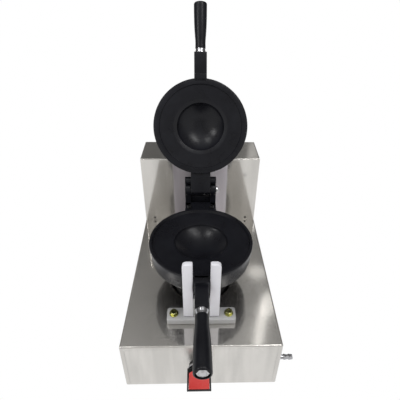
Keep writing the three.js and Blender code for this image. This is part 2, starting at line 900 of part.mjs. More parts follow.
function socketScrewHoles(from, to) {
  return socketScrewPlaces().map(([x, z]) => solid(rod(
    smallScrewRadius + seat, from, to, 'y', [x, 0, z], smallSides,
  )));
}

function socketBack() {
  const reach = ballRadius + ballClearance;
  const mouth = Math.sqrt(reach ** 2 - socketMouthRadius ** 2);
  const front = deckDepth + sheet + seat;
  const back = ballY + socketBackDepth;
  const body = solid(turned([
    [socketSpigotRadius + seat, front],
    [socketFlangeRadius, front],
    [socketFlangeRadius, back],
    [socketMouthRadius, back],
    ...seatPoints(mouth, seat / 2),
    [socketSpigotRadius + seat, ballY + seat / 2],
    [socketSpigotRadius + seat, front],
  ], 'y', [0, 0, axisZ], roundSides));
  return cut(body, socketScrewHoles(front - overrun, back - sheet));
}

function socketScrews() {
  const face = deckDepth - seat - socketFlangeThickness - seat;
  const shank = socketFlangeThickness + ballSetback + socketBackDepth / 2;
  return socketScrewPlaces().map(([x, z]) => panScrew([x, face, z], 'y', -1, shank));
}

// Handles: bar, ferrule, grip and nut on a stud, below the parting plane or above it

const lowerBarWidth = 20.5;
const barEdge = 2;
const gripBore = studRadius + seat;
const gripRecessRadius = 9.6;
const gripRecessDepth = 3.4;
const nutAcrossFlats = 14.6;
const ferruleShares = [[1.08, 0], [1.1, 0.12], [0.95, 0.85], [0.95, 1]];
const gripFullShare = 1.29;
const gripShares = [
  [1.04, 0], [1, 0.13], [1.07, 0.235], [1.14, 0.33], [1.2, 0.45], [1.25, 0.6], [1.28, 0.8],
  [1.29, 0.93], [1.25, 0.985], [1.16, 1],
];

// Heights run forward from the mould's centre, so they are taken negative along Y.
function forward(points) {
  return points.map(([radius, reach]) => [radius, -reach]);
}

function handleBar(level, width, bottom, top, rootReach) {
  const outline = roundedOutline(
    -width / 2, bottom, width / 2, top, [barEdge, barEdge, barEdge, barEdge],
  );
  const bar = solid(prism(outline, mouldCentreY - barEnd, mouldCentreY - rootReach, 'y'));
  const stud = solid(turned(forward([
    [0, barEnd - overrun],
    [studRadius, barEnd - overrun],
    [studRadius, gripStart + gripLength - gripRecessDepth / 4],
    [0, gripStart + gripLength - gripRecessDepth / 4],
  ]), 'y', [0, mouldCentreY, level], smallSides));
  return bar.add(stud);
}

function ferrule(level) {
  const from = barEnd + seat;
  const length = gripStart - seat - from;
  const outer = ferruleShares.map(([r, s]) => [r * gripNeckRadius, from + s * length]);
  const profile = [
    [gripBore, from], ...outer, [gripBore, from + length], [gripBore, from],
  ];
  return turned(forward(profile), 'y', [0, mouldCentreY, level], roundSides);
}

function grip(level) {
  const end = gripStart + gripLength;
  const swell = (gripEndRadius / gripNeckRadius - 1) / (gripFullShare - 1);
  const outer = gripShares.map(([r, s]) => [
    gripNeckRadius * (1 + (r - 1) * swell), gripStart + s * gripLength,
  ]);
  const profile = [
    [gripBore, gripStart], ...outer,
    [gripRecessRadius, end],
    [gripRecessRadius, end - gripRecessDepth],
    [gripBore, end - gripRecessDepth],
    [gripBore, gripStart],
  ];
  return turned(forward(profile), 'y', [0, mouldCentreY, level], roundSides);
}

function gripNut(level) {
  const end = gripStart + gripLength;
  const [from, to] = [end - gripRecessDepth + seat, end + seat];
  const place = [0, mouldCentreY, level];
  const hex = hexagon(nutAcrossFlats, -to, -from, 'y', place);
  const bevel = solid(turned(forward([
    [0, from],
    [nutAcrossFlats, from],
    [nutAcrossFlats / 2, to],
    [0, to],
  ]), 'y', place, smallSides));
  const bore = solid(rod(gripBore, -to - overrun, -from + overrun, 'y', place, smallSides));
  return hex.intersect(bevel).subtract(bore);
}

// Lid: drawn shut, then swung open about the hinge pin with everything that it carries

const lidLevel = axisZ + partingGap;
const bossRadius = 7.5;
const bossReach = 20;
const bossLeanDegrees = 5;
const lidLedgeOut = 6;
const lidLedgeLow = 14.8;
const tongueLow = 3.5;
const tongueTop = 14.4;
const hubRadius = 11.5;
const hubTail = 4;
const hubDrop = 13.7;
const hubJoinDegrees = 150;
const tongueScrewX = 12;
const tongueScrewOut = 1.7;

function lidMould() {
  const flipped = (points) => points.map(([r, h]) => [r, -h]);
  const profile = flipped([...lidFacePoints(), ...backPoints()]);
  const disc = solid(turned(profile, 'z', [0, mouldCentreY, lidLevel], mouldSides));
  const lug = block(
    [-lidBarWidth / 2, mouldCentreY - lugReach, lidLevel],
    [lidBarWidth / 2, mouldCentreY - lugRootReach, lidLevel + lugDepth],
  );
  const ledge = block(
    [-tongueHalfWidth, mouldCentreY + ledgeRootReach, axisZ + lidLedgeLow],
    [tongueHalfWidth, mouldCentreY + mouldRadius + lidLedgeOut, axisZ + lidLedgeLow + ledgeThickness],
  );
  const holes = tongueScrewPlaces().map(([x, y]) => solid(rod(
    clampScrewRadius + seat, 0, mouldDepth, 'z', [x, y, axisZ], smallSides,
  )));
  return cut(joined([disc, lug, ledge]), holes);
}

function tongueScrewPlaces() {
  return [-1, 1].map((side) => [side * tongueScrewX, mouldCentreY + mouldRadius + tongueScrewOut]);
}

// The stop bosses stand over the ears when the lid is open, at a slight lean to the rear.
function bossPlaceShut() {
  const open = THREE.MathUtils.degToRad(lidAngleDegrees - bossLeanDegrees);
  return [pinY - bossReach * Math.sin(open), pinZ + bossReach * Math.cos(open)];
}

function hingeTongue() {
  const joinAngle = THREE.MathUtils.degToRad(hubJoinDegrees);
  const corner = Math.hypot(hubTail, hubDrop);
  const startAngle = Math.atan2(-hubDrop, hubTail) + Math.acos(hubRadius / corner);
  const [bossY, bossZ] = bossPlaceShut();
  const shape = new THREE.Shape();
  const front = mouldCentreY + ledgeRootReach;
  shape.moveTo(front, axisZ + tongueLow);
  shape.lineTo(pinY + hubTail, pinZ - hubDrop);
  shape.absarc(pinY, pinZ, hubRadius, startAngle, joinAngle, false);
  shape.lineTo(bossY + bossRadius / 2, bossZ + bossRadius / 2);
  shape.lineTo(bossY, axisZ + tongueTop);
  shape.lineTo(front, axisZ + tongueTop);
  shape.closePath();
  const plate = solid(prism(shape, -tongueHalfWidth, tongueHalfWidth, 'x', hubSteps));
  const bosses = solid(rod(
    bossRadius, -yokeHalfWidth, yokeHalfWidth, 'x', [0, bossY, bossZ], smallSides,
  ));
  const rimSeat = solid(rod(
    mouldRadius + seat, -mouldDepth, mouldDepth, 'z', [0, mouldCentreY, axisZ], mouldSides,
  ));
  const bore = solid(rod(pinRadius + seat, -bodyWidth, bodyWidth, 'x', [0, pinY, pinZ], smallSides));
  const screwBores = tongueScrewPlaces().map(([x, y]) => solid(rod(
    clampScrewRadius + seat, 0, mouldDepth, 'z', [x, y, axisZ], smallSides,
  )));
  return cut(joined([plate, bosses]), [rimSeat, bore, ...screwBores]);
}

function tongueScrews() {
  const face = axisZ + lidLedgeLow + ledgeThickness + seat;
  const length = ledgeThickness + (tongueTop - tongueLow) / 2;
  return tongueScrewPlaces().map(([x, y]) => socketScrew([x, y, face], 1, length));
}

// Gas tap, its stem and the fish-tail knob with a coloured core

const stemRadius = 4;
const stemHoleRadius = 7;
const tapRadius = 13;
const tapLength = 33;
const tapBoreRadius = 9;
const tapBoreDepth = 12;
const tapPortRadius = 6;
const tapPortLength = 22;
const tapPortY = 20;
const tapOutletRadius = 6.5;
const tapOutletLength = 8;
const tapFront = sheet + seat;
const tapBack = tapFront + tapLength;
const stemShoulderRadius = 6.4;
const stemShoulderLength = 1.6;
const knobStandOff = 5;
const knobBaseRadius = 15.5;
const knobBaseLength = 3.8;
const knobNeckRadius = 14;
const knobRingRadius = 17;
const knobRingLength = 3;
const knobCupWall = 2;
const bladeRootThickness = 14;
const bladeTipThickness = 5;
const bladeRootY = 14.5;
const bladeCorner = 5;
const bladeCheek = 2.3;
const bladeCoreRoot = 21;
const coreTipWall = 1.2;
const stemEnd = 24;

function tapBody() {
  const place = [knobX, 0, knobZ];
  const body = solid(rod(tapRadius, tapFront, tapBack, 'y', place, roundSides));
  const outlet = solid(rod(tapOutletRadius, tapBack - overrun, tapBack + tapOutletLength, 'y', place));
  const port = solid(rod(tapPortRadius, 0, tapPortLength, 'x', [knobX, tapPortY, knobZ], smallSides));
  const bore = solid(rod(tapBoreRadius, tapFront - overrun, tapFront + tapBoreDepth, 'y', place));
  const cap = solid(ring(
    stemHoleRadius, tapRadius, tapFront, tapFront + sheet, 'y', place, roundSides,
  ));
  return cut(joined([body, outlet, port]), [bore]).add(cap);
}

function tapStem() {
  const shoulder = tapFront + sheet + seat;
  return turned([
    [0, -stemEnd],
    [stemRadius, -stemEnd],
    [stemRadius, shoulder],
    [stemShoulderRadius, shoulder],
    [stemShoulderRadius, shoulder + stemShoulderLength],
    [stemRadius, shoulder + stemShoulderLength],
    [stemRadius, shoulder + 2 * stemShoulderLength],
    [0, shoulder + 2 * stemShoulderLength],
  ], 'y', [knobX, 0, knobZ], smallSides);
}

// Washer on the stem's tail: it is pushed in with the stem but doesn't turn with it.
function springSeat() {
  const from = tapFront + sheet + seat + stemShoulderLength + seat;
  return ring(
    stemRadius + running, tapBoreRadius - running, from, from + stemShoulderLength, 'y',
    [knobX, 0, knobZ], roundSides,
  );
}

function bladeOutline(grow) {
  const [root, tip] = [bladeRootThickness / 2 + grow, bladeTipThickness / 2 + grow];
  return [
    [-bladeRootY, knobZ - root],
    [-bladeRootY, knobZ + root],
    [-knobReach + bladeTipThickness / 4, knobZ + tip],
    [-knobReach, knobZ + tip / 2],
    [-knobReach, knobZ - tip / 2],
    [-knobReach + bladeTipThickness / 4, knobZ - tip],
  ];
}

function knobBody() {
  const base = -knobStandOff;
  const place = [knobX, 0, knobZ];
  const ringStart = base - knobBaseLength;
  const ringEnd = ringStart - knobRingLength - 2 * seat;
  const round = solid(turned([
    [knobBaseRadius - knobCupWall, base],
    [knobBaseRadius, base],
    [knobBaseRadius, ringStart],
    [knobNeckRadius, ringStart],
    [knobNeckRadius, ringEnd],
    [knobNeckRadius - sheet / 2, -bladeRootY - knobCupWall * 2],
    [0, -bladeRootY - knobCupWall * 2],
    [0, base - knobCupWall],
    [knobBaseRadius - knobCupWall, base - knobCupWall],
    [knobBaseRadius - knobCupWall, base],
  ], 'y', place, roundSides));
  const half = bladeWidth / 2;
  const wedge = solid(prism(bladeOutline(0), knobX - half, knobX + half, 'x'));
  const plan = solid(prism(roundedOutline(
    knobX - half, -knobReach, knobX + half, -bladeRootY, [sheet, sheet, bladeCorner, bladeCorner],
  ), knobZ - knobReach, knobZ + knobReach, 'z'));
  const slot = block(
    [knobX - half + bladeCheek, -knobReach + coreTipWall, knobZ - knobReach],
    [knobX + half - bladeCheek, -bladeCoreRoot, knobZ + knobReach],
  );
  const bore = solid(rod(stemRadius + seat, -stemEnd - seat, overrun, 'y', place, smallSides));
  return cut(joined([round, wedge.intersect(plan)]), [slot, bore]);
}

function knobCore() {
  const half = bladeWidth / 2 - bladeCheek - seat;
  const wedge = solid(prism(bladeOutline(-seat), knobX - half, knobX + half, 'x'));
  const keep = block(
    [knobX - half, -knobReach + coreTipWall + seat, knobZ - knobReach],
    [knobX + half, -bladeCoreRoot - seat, knobZ + knobReach],
  );
  const bore = solid(rod(stemRadius + seat, -stemEnd - seat, 0, 'y', [knobX, 0, knobZ], smallSides));
  return wedge.intersect(keep).subtract(bore);
}

function knobRing() {
  const from = -knobStandOff - knobBaseLength - seat - knobRingLength;
  return ring(
    knobNeckRadius + seat, knobRingRadius, from, from + knobRingLength, 'y',
    [knobX, 0, knobZ], roundSides,
  );
}

// Burner: an open bowl with its mixing tube, a ported cap, and the air shutter on the injector

const bowlFloorDrop = 52;
const bowlRimDrop = 6;
const bowlFloorZ = deckZ - bowlFloorDrop;
const bowlRimZ = deckZ - bowlRimDrop;
const bowlWall = 4;
const bowlShares = [[0.52, 0], [0.68, 0.13], [0.92, 0.56], [1, 0.74], [1, 1]];
const tubeOuter = 13;
const tubeInner = 10;
const bellOuter = 17;
const bellLength = 7;
const bellWall = 2;
const bellFrontY = 61;
const airHoleRadius = 3.4;
const airHoleReach = 10.4;
const airHoleCount = 3;
const injectorRadius = 5;
const injectorBore = 1;
const shutterThickness = 2;
const capPorts = 14;
const portWidth = 2.4;
const capHeight = 8;
const capSkirt = 3;
const bracketWidth = 30;
const bracketSpan = 60;
const bracketFoot = 15;
const bracketThickness = 2;

function bowlSolid(inset, top) {
  const height = bowlRimZ - bowlFloorZ;
  const wall = bowlShares.map(([r, h]) => [
    r * burnerRadius - inset, bowlFloorZ + inset + h * (height - inset),
  ]);
  return solid(turned([
    [0, bowlFloorZ + inset], ...wall, [burnerRadius - inset, top], [0, top],
  ], 'z', [0, mouldCentreY, 0], burnerSides));
}

function airHoles(from, to) {
  return Array.from({ length: airHoleCount }, (_, i) => {
    const angle = Math.PI / 2 + (2 * Math.PI * i) / airHoleCount;
    const place = [
      knobX + airHoleReach * Math.cos(angle), 0, knobZ + airHoleReach * Math.sin(angle),
    ];
    return solid(rod(airHoleRadius, from, to, 'y', place, smallSides));
  });
}

function burnerBody() {
  const place = [knobX, 0, knobZ];
  const reach = mouldCentreY - burnerRadius / 2;
  const tube = solid(turned([
    [0, bellFrontY],
    [bellOuter, bellFrontY],
    [bellOuter, bellFrontY + bellLength],
    [tubeOuter, bellFrontY + 2 * bellLength],
    [tubeOuter, reach],
    [0, reach],
  ], 'y', place, roundSides));
  const tubeBore = solid(turned([
    [0, bellFrontY + bellWall],
    [bellOuter - bellWall, bellFrontY + bellWall],
    [bellOuter - bellWall, bellFrontY + bellLength],
    [tubeInner, bellFrontY + 2 * bellLength],
    [tubeInner, reach + overrun],
    [0, reach + overrun],
  ], 'y', place, roundSides));
  const mouth = solid(rod(injectorRadius + running, 0, bellFrontY + overrun, 'y', place, roundSides));
  const outer = joined([bowlSolid(0, bowlRimZ), tube]);
  const inner = joined([bowlSolid(bowlWall, bowlRimZ + overrun), tubeBore]);
  return cut(outer, [inner, mouth, ...airHoles(0, bellFrontY + overrun)]);
}

function burnerCap() {
  const low = bowlRimZ + seat;
  const skirtOuter = burnerRadius - bowlWall - seat;
  const cap = solid(turned([
    [0, low + capHeight],
    [burnerRadius * 0.6, low + capHeight * 0.92],
    [burnerRadius * 0.88, low + capHeight * 0.7],
    [burnerRadius, low + capHeight * 0.25],
    [burnerRadius, low],
    [skirtOuter, low],
    [skirtOuter, low - capSkirt],
    [skirtOuter - bowlWall, low - capSkirt],
    [skirtOuter - bowlWall, low + capHeight * 0.3],
    [0, low + capHeight * 0.45],
  ], 'z', [0, mouldCentreY, 0], burnerSides));
  const ports = Array.from({ length: capPorts }, (_, i) => {
    const slot = boxBetween(
      [burnerRadius * 0.84, -portWidth / 2, low + capHeight * 0.32],
      [burnerRadius + overrun, portWidth / 2, low + capHeight],
    );
    slot.rotateZ((2 * Math.PI * (i + 0.5)) / capPorts);
    return solid(slot.translate(0, mouldCentreY, 0));
  });
  return cut(cap, ports);
}

function injector() {
  const from = tapBack + tapOutletLength + seat;
  const to = bellFrontY + bellWall;
  return turned([
    [injectorBore, from],
    [tapOutletRadius, from],
    [tapOutletRadius, from + overrun],
    [injectorRadius, from + overrun],
    [injectorRadius, to],
    [injectorBore, to],
    [injectorBore, from],
  ], 'y', [knobX, 0, knobZ], smallSides);
}

function airShutter() {
  const to = bellFrontY - seat;
  const disc = solid(ring(
    injectorRadius + running, bellOuter, to - shutterThickness, to, 'y', [knobX, 0, knobZ],
    roundSides,
  ));
  const tab = block(
    [knobX - overrun, to - shutterThickness, knobZ + bellOuter - shutterThickness],
    [knobX + overrun, to, knobZ + bellOuter + overrun],
  );
  return cut(joined([disc, tab]), airHoles(0, bellFrontY));
}

function burnerBracket() {
  const low = footHeight + bottomGap + seat;
  const top = bowlFloorZ - seat;
  const [leg, t] = [bracketSpan / 2, bracketThickness];
  const outline = [
    [-leg - bracketFoot, low], [-leg + t, low], [-leg + t, top - t], [leg - t, top - t],
    [leg - t, low], [leg + bracketFoot, low], [leg + bracketFoot, low + t], [leg, low + t],
    [leg, top], [-leg, top], [-leg, low + t], [-leg - bracketFoot, low + t],
  ];
  const y = mouldCentreY;
  return prism(outline, y - bracketWidth / 2, y + bracketWidth / 2, 'y');
}

// Spark electrode in the gap round the burner, and its lead from the tap

const electrodeReach = 54;
const electrodeDegrees = -60;
const electrodeRadius = 2.6;
const electrodeTipRadius = 0.9;
const electrodeLow = 26;
const clipThickness = 1.6;
const clipDrop = 14;
const leadRadius = 1.2;
const leadSteps = 14;
const leadRise = 9;
const leadBow = 14;
const leadLoop = 7;

function electrodePlace() {
  const angle = THREE.MathUtils.degToRad(electrodeDegrees);
  return [electrodeReach * Math.cos(angle), mouldCentreY + electrodeReach * Math.sin(angle), 0];
}

function electrode() {
  const shoulder = deckZ - clipDrop / 4;
  return turned([
    [0, deckZ - electrodeLow],
    [electrodeRadius, deckZ - electrodeLow],
    [electrodeRadius, shoulder],
    [electrodeTipRadius, shoulder + electrodeRadius],
    [electrodeTipRadius, deckZ + capHeight / 2],
    [0, deckZ + capHeight / 2],
  ], 'z', electrodePlace(), smallSides);
}

function electrodeClip() {
  const [x, y] = electrodePlace();
  const level = deckZ - clipDrop;
  const plate = solid(rod(
    burnerHoleRadius + seat, level - clipThickness, level, 'z', [0, mouldCentreY, 0], mouldSides,
  ));
  const around = block(
    [x - electrodeRadius * 3, y - electrodeRadius * 4, level - overrun],
    [x + electrodeRadius * 3, y + electrodeRadius * 4, level + overrun],
  );
  const bowl = solid(rod(
    burnerRadius + seat, level - overrun, level + overrun, 'z', [0, mouldCentreY, 0], mouldSides,
  ));
  const hole = solid(rod(
    electrodeRadius + seat, level - overrun, level + overrun, 'z', [x, y, 0], smallSides,
  ));
  return cut(plate.intersect(around), [bowl, hole]);
}

function igniterLead() {
  const [x, y] = electrodePlace();
  const low = deckZ - electrodeLow - seat;
  const tapTop = knobZ + tapRadius + seat + leadRadius;
  return tubeAlong([
    [knobX, tapBack - overrun, tapTop],
    [knobX + overrun, tapBack, tapTop + leadRise],
    [(knobX + x) / 2 + leadBow, tapBack + leadRise * 2, tapTop + leadRise / 2],
    [x + leadBow, y - leadBow, tapTop - leadRise],
    [x + leadBow / 2, y - leadBow / 4, low - leadLoop],
    [x, y, low - leadLoop],
    [x, y, low],
  ], leadRadius, leadSteps);
}

// Gas inlet: pipe from the tap, lock nut inside the wall and the hose barb outside

const inletThreadRadius = 6;
const inletCollarRadius = 7.2;
const inletCollarLength = 2.2;
const inletNutLength = 6;
const inletTail = 7;
const barbStemRadius = 3.6;
const barbRingRadius = 4.7;
const barbBoreRadius = 2.2;
const barbShares = [[0, 0], [0, 0.3], [1, 0.36], [0.1, 0.58], [0, 0.66], [1, 0.74], [0.35, 1]];
const pipeSteps = 10;

function inletBarb() {
  const wall = halfWidth + seat;
  const start = wall + inletCollarLength;
  const length = barbLength - inletCollarLength;
  const barbs = barbShares.map(([rise, along]) => [
    barbStemRadius + rise * (barbRingRadius - barbStemRadius), start + along * length,
  ]);
  const back = halfWidth - inletTail;
  return turned([
    [barbBoreRadius, back],
    [inletThreadRadius, back],
    [inletThreadRadius, wall],
    [inletCollarRadius, wall],
    [inletCollarRadius, start],
    ...barbs,
    [barbBoreRadius, start + length],
    [barbBoreRadius, back],
  ], 'x', [0, inletY, inletZ], roundSides);
}

function inletNut() {
  const to = halfWidth - sheet - seat;
  const place = [0, inletY, inletZ];
  const nut = hexagon(inletThreadRadius * 3, to - inletNutLength + sheet, to, 'x', place);
  const bore = rod(inletThreadRadius + seat, to - bodyWidth, to + overrun, 'x', place, roundSides);
  return nut.subtract(solid(bore));
}

function gasPipe() {
  const start = knobX + tapPortLength + seat;
  const end = halfWidth - inletTail - seat;
  const bend = (end - start) / 4;
  return tubeAlong([
    [start, tapPortY, knobZ],
    [start + bend / 2, tapPortY, knobZ],
    [start + bend, tapPortY, knobZ],
    [start + 1.7 * bend, (tapPortY * 2 + inletY) / 3, (knobZ * 2 + inletZ) / 3],
    [start + 2.3 * bend, (tapPortY + 2 * inletY) / 3, (knobZ + 2 * inletZ) / 3],
    [start + 3 * bend, inletY, inletZ],
    [end - bend / 2, inletY, inletZ],
    [end, inletY, inletZ],
  ], pipeRadius, pipeSteps);
}

// Assembly

function addHandle(parent, prefix, sign, bar, material) {
  const level = axisZ + sign * gripOffset;
  add(parent, `${prefix}_handle_bar`, bar(level), material);
  add(parent, `${prefix}_ferrule`, ferrule(level), finishes.chrome());
  add(parent, `${prefix}_grip`, grip(level), finishes.bakelite());
  add(parent, `${prefix}_grip_nut`, gripNut(level), finishes.steel());
}

function addBody() {
  add(machine, 'deck_housing', deckHousing(), finishes.stainless());
  add(machine, 'front_panel', frontPanel(), finishes.stainless());
  add(machine, 'tower_housing', towerHousing(), finishes.stainless());
  add(machine, 'rear_cover', rearCover(), finishes.stainless());
  add(machine, 'bottom_plate', bottomPlate(), finishes.stainless());
  addEach(machine, 'foot', footNames, feet(), finishes.rubber());
}

function addFork() {
  add(machine, 'fork_base', forkBase(), finishes.castAluminium());
  add(machine, 'fork_arm_left', forkArm(-1), finishes.castAluminium());
  add(machine, 'fork_arm_right', forkArm(1), finishes.castAluminium());
  add(machine, 'fork_web', forkWeb(), finishes.castAluminium());
  add(machine, 'fork_rest_pin', forkRestPin(), finishes.blackSteel());
  addEach(machine, 'fork_bolt', leftRight, forkBolts(), finishes.yellowZinc());
  addEach(machine, 'fork_washer', leftRight, forkWashers(), finishes.yellowZinc());
  addEach(machine, 'fork_nut', leftRight, forkNuts(), finishes.yellowZinc());
}

function addMoulds() {
  const half = lowerBarWidth / 2;
  const lowerBar = (level) => handleBar(
    level, lowerBarWidth, level - half, level + half, lugReach + seat,
  );
  const lidBar = (level) => handleBar(
    level, lidBarWidth, lidLevel, level + half, lugReach + seat,
  );
  add(machine, 'lower_mould', lowerMould(), finishes.nonStick());
  addHandle(machine, 'lower', -1, lowerBar, finishes.nonStick());
  add(machine, 'hinge_yoke', hingeYoke(), finishes.nonStick());
  addEach(machine, 'yoke_screw', leftRight, yokeScrews(), finishes.blackSteel());
  add(machine, 'hinge_pin', hingePin(), finishes.steel());
  add(machine, 'turning_shaft', turningShaft(), finishes.steel());
  add(machine, 'socket_front', socketFront(), finishes.castIron());
  add(machine, 'socket_back', socketBack(), finishes.castIron());
  addEach(machine, 'socket_screw', socketScrewNames, socketScrews(), finishes.steel());

  const lid = new THREE.Group();
  const shut = new THREE.Group();
  shut.position.set(0, -pinY, -pinZ);
  lid.position.set(0, pinY, pinZ);
  lid.rotation.x = -THREE.MathUtils.degToRad(lidAngleDegrees);
  lid.add(shut);
  machine.add(lid);
  add(shut, 'lid_mould', lidMould(), finishes.nonStick());
  addHandle(shut, 'lid', 1, lidBar, finishes.nonStick());
  add(shut, 'hinge_tongue', hingeTongue(), finishes.nonStick());
  addEach(shut, 'tongue_screw', leftRight, tongueScrews(), finishes.blackSteel());
}

function addGasParts() {
  add(machine, 'tap_body', tapBody(), finishes.brass());
  add(machine, 'tap_stem', tapStem(), finishes.steel());
  add(machine, 'spring_seat', springSeat(), finishes.steel());
  add(machine, 'knob_body', knobBody(), finishes.blackPlastic());
  add(machine, 'knob_core', knobCore(), finishes.redPlastic());
  add(machine, 'knob_ring', knobRing(), finishes.chrome());
  add(machine, 'injector', injector(), finishes.brass());
  add(machine, 'air_shutter', airShutter(), finishes.steel());
  add(machine, 'burner_body', burnerBody(), finishes.castIron());
  add(machine, 'burner_cap', burnerCap(), finishes.castIron());
  add(machine, 'burner_bracket', burnerBracket(), finishes.steel());
  add(machine, 'electrode', electrode(), finishes.ceramic());
  add(machine, 'electrode_clip', electrodeClip(), finishes.steel());
  add(machine, 'igniter_lead', igniterLead(), finishes.leadCover());
  add(machine, 'gas_pipe', gasPipe(), finishes.copper());
  add(machine, 'inlet_nut', inletNut(), finishes.steel());
  add(machine, 'inlet_barb', inletBarb(), finishes.chrome());
}

addBody();
addFork();
addMoulds();
addGasParts();

// The origin is the middle of the footprint at floor level
machine.updateMatrixWorld(true);
const extent = new THREE.Box3().setFromObject(machine, true);
machine.position.set(-(extent.min.x + extent.max.x) / 2, -(extent.min.y + extent.max.y) / 2, 0);

export default machine;
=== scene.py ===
import json
import math

import bpy
import numpy as np
from mathutils import Matrix, Vector


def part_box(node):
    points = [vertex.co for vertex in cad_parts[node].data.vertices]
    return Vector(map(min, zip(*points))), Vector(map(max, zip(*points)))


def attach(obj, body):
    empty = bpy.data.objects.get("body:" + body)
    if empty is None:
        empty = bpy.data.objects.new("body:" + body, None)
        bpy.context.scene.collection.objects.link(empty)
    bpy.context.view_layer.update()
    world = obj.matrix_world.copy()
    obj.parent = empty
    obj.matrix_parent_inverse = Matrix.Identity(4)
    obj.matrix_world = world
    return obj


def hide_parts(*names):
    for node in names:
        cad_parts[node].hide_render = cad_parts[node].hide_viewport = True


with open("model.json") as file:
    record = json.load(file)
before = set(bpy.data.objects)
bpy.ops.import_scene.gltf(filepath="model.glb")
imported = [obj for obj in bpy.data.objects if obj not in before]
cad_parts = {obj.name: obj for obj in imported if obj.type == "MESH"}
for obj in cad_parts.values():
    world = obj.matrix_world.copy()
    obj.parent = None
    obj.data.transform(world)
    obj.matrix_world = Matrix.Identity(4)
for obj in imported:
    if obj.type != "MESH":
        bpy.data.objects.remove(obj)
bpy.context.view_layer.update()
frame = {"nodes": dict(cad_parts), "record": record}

bl_info = {
    "name": "Burger Maker Looks",
    "version": (1, 0, 0),
    "blender": (4, 5, 0),
    "location": "View3D > Sidebar > Burger Maker",
    "description": "Builds the finished surfaces, materials and studio of a gas burger maker",
    "category": "Object",
}

# Shared sizes, in millimetres from the middle of the front panel's foot
PANEL_LOW, PANEL_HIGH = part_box("front_panel")
ORIGIN = np.array([(PANEL_LOW.x + PANEL_HIGH.x) / 2, PANEL_LOW.y, 0.0])
# Levels of the deck and of the turning axis, which is also the lower mould's rim
DECK = 110.0
AXIS = 202.0
LID_LEVEL = AXIS + 0.5
# Half the body's width, and the distances from the front to the tower and to its rear cover
HALF = 125.0
DEEP = 316.0
BACK = 401.0
# Middle and radius of the moulds, and the grips' distance from the turning axis
CENTRE_Y = 141.0
RADIUS = 89.0
GRIP_OFFSET = 15.1
# Hinge pin and gas inlet as (y, z), knob as (x, z)
PIN = (264.0, 225.0)
INLET = (15.0, 56.0)
KNOB = (-4.0, 73.0)
# Angles in degrees: the open lid, and the least fold that is shaded as an edge
LID_ANGLE = 114.0
SHARP_ANGLE = 32.0
SIDES = ((-1, "left"), (1, "right"))


def to_row(points):
    """Row-frame metres from machine millimetres: P = p / 1000 + origin."""
    return np.asarray(points, float) / 1000.0 + ORIGIN


def opened(points):
    """Turns shut-lid points about the hinge pin: y' = y cos a + z sin a, z' = z cos a - y sin a."""
    p = np.array(points, float)
    a = math.radians(LID_ANGLE)
    y, z = p[:, 1] - PIN[0], p[:, 2] - PIN[1]
    p[:, 1] = PIN[0] + y * math.cos(a) + z * math.sin(a)
    p[:, 2] = PIN[1] - y * math.sin(a) + z * math.cos(a)
    return p


# Parametric surfaces

class Shell:
    """Vertices and faces of one or more closed surfaces, in machine millimetres."""

    def __init__(self):
        self.points = np.zeros((0, 3))
        self.faces = []

    def loft(self, rings, ends=("face", "face")):
        """Joins rings of equal count: P(i, j) = rings[i][j]. Ends are faces or poles, or None for a loop.
        The sign of the volume, a sum of a . (b x c) over the triangles, turns the faces outward."""
        points = np.vstack(rings)
        ring = np.arange(len(points)).reshape(len(rings), -1)
        after = np.roll(ring, -1, 1)
        bands = np.stack([ring, after, np.roll(after, -1, 0), np.roll(ring, -1, 0)], -1)
        sheets = [(bands[:-1] if ends else bands).reshape(-1, 4)]
        for end, face, a, b in zip(ends or (), (ring[0][::-1], ring[-1]), (after[0], ring[-1]),
                                   (ring[0], after[-1])):
            if isinstance(end, str):
                sheets.append(face[None])
            else:
                sheets.append(np.stack([a, b, np.full(len(a), len(points))], 1))
                points = np.vstack([points, end])
        fans = [sheet[:, [0, i, i + 1]] for sheet in sheets for i in range(1, sheet.shape[1] - 1)]
        way = 1 if np.linalg.det(points[np.vstack(fans)]).sum() >= 0 else -1
        for sheet in sheets:
            self.faces += (sheet[:, ::way] + len(self.points)).tolist()
        self.points = np.vstack([self.points, points])
        return self


TURNED_AXES = {"x": (2, 0, 1), "y": (1, 2, 0), "z": (0, 1, 2)}
PLATE_AXES = {"x": (2, 0, 1), "y": (0, 2, 1), "z": (0, 1, 2)}


def placed(a, b, c, axis, centre):
    """Lays plane coordinates a, b and height c along the axis: a cyclic swap, so it keeps its hand."""
    return np.stack([a, b, c], -1)[..., TURNED_AXES[axis]] + np.asarray(centre, float)


def lathe(shell, profile, axis, centre, sides=None, wave=None):
    """P(u, v) = centre + r(v) w(u, v) (cos u, sin u) across the axis + h(v) along it; w is 1 if plain."""
    sides = sides or bpy.context.scene.burger_shapes.small_sides
    profile = np.asarray(profile, float)
    closed = np.allclose(profile[0], profile[-1])
    if closed:
        profile = profile[:-1]
    u = np.linspace(0, 2 * np.pi, sides, endpoint=False)
    r, h = profile[:, 0:1], profile[:, 1:2]
    w = np.ones((len(profile), sides)) if wave is None else wave(u[None, :], r, h)
    rings = list(placed(r * w * np.cos(u), r * w * np.sin(u), h + 0 * u, axis, centre))
    if closed:
        return shell.loft(rings, None)
    ends = ["face", "face"]
    for index in (0, -1):
        if profile[index, 0] < 1e-6:
            ends[index] = rings.pop(index)[0]
    return shell.loft(rings, ends)


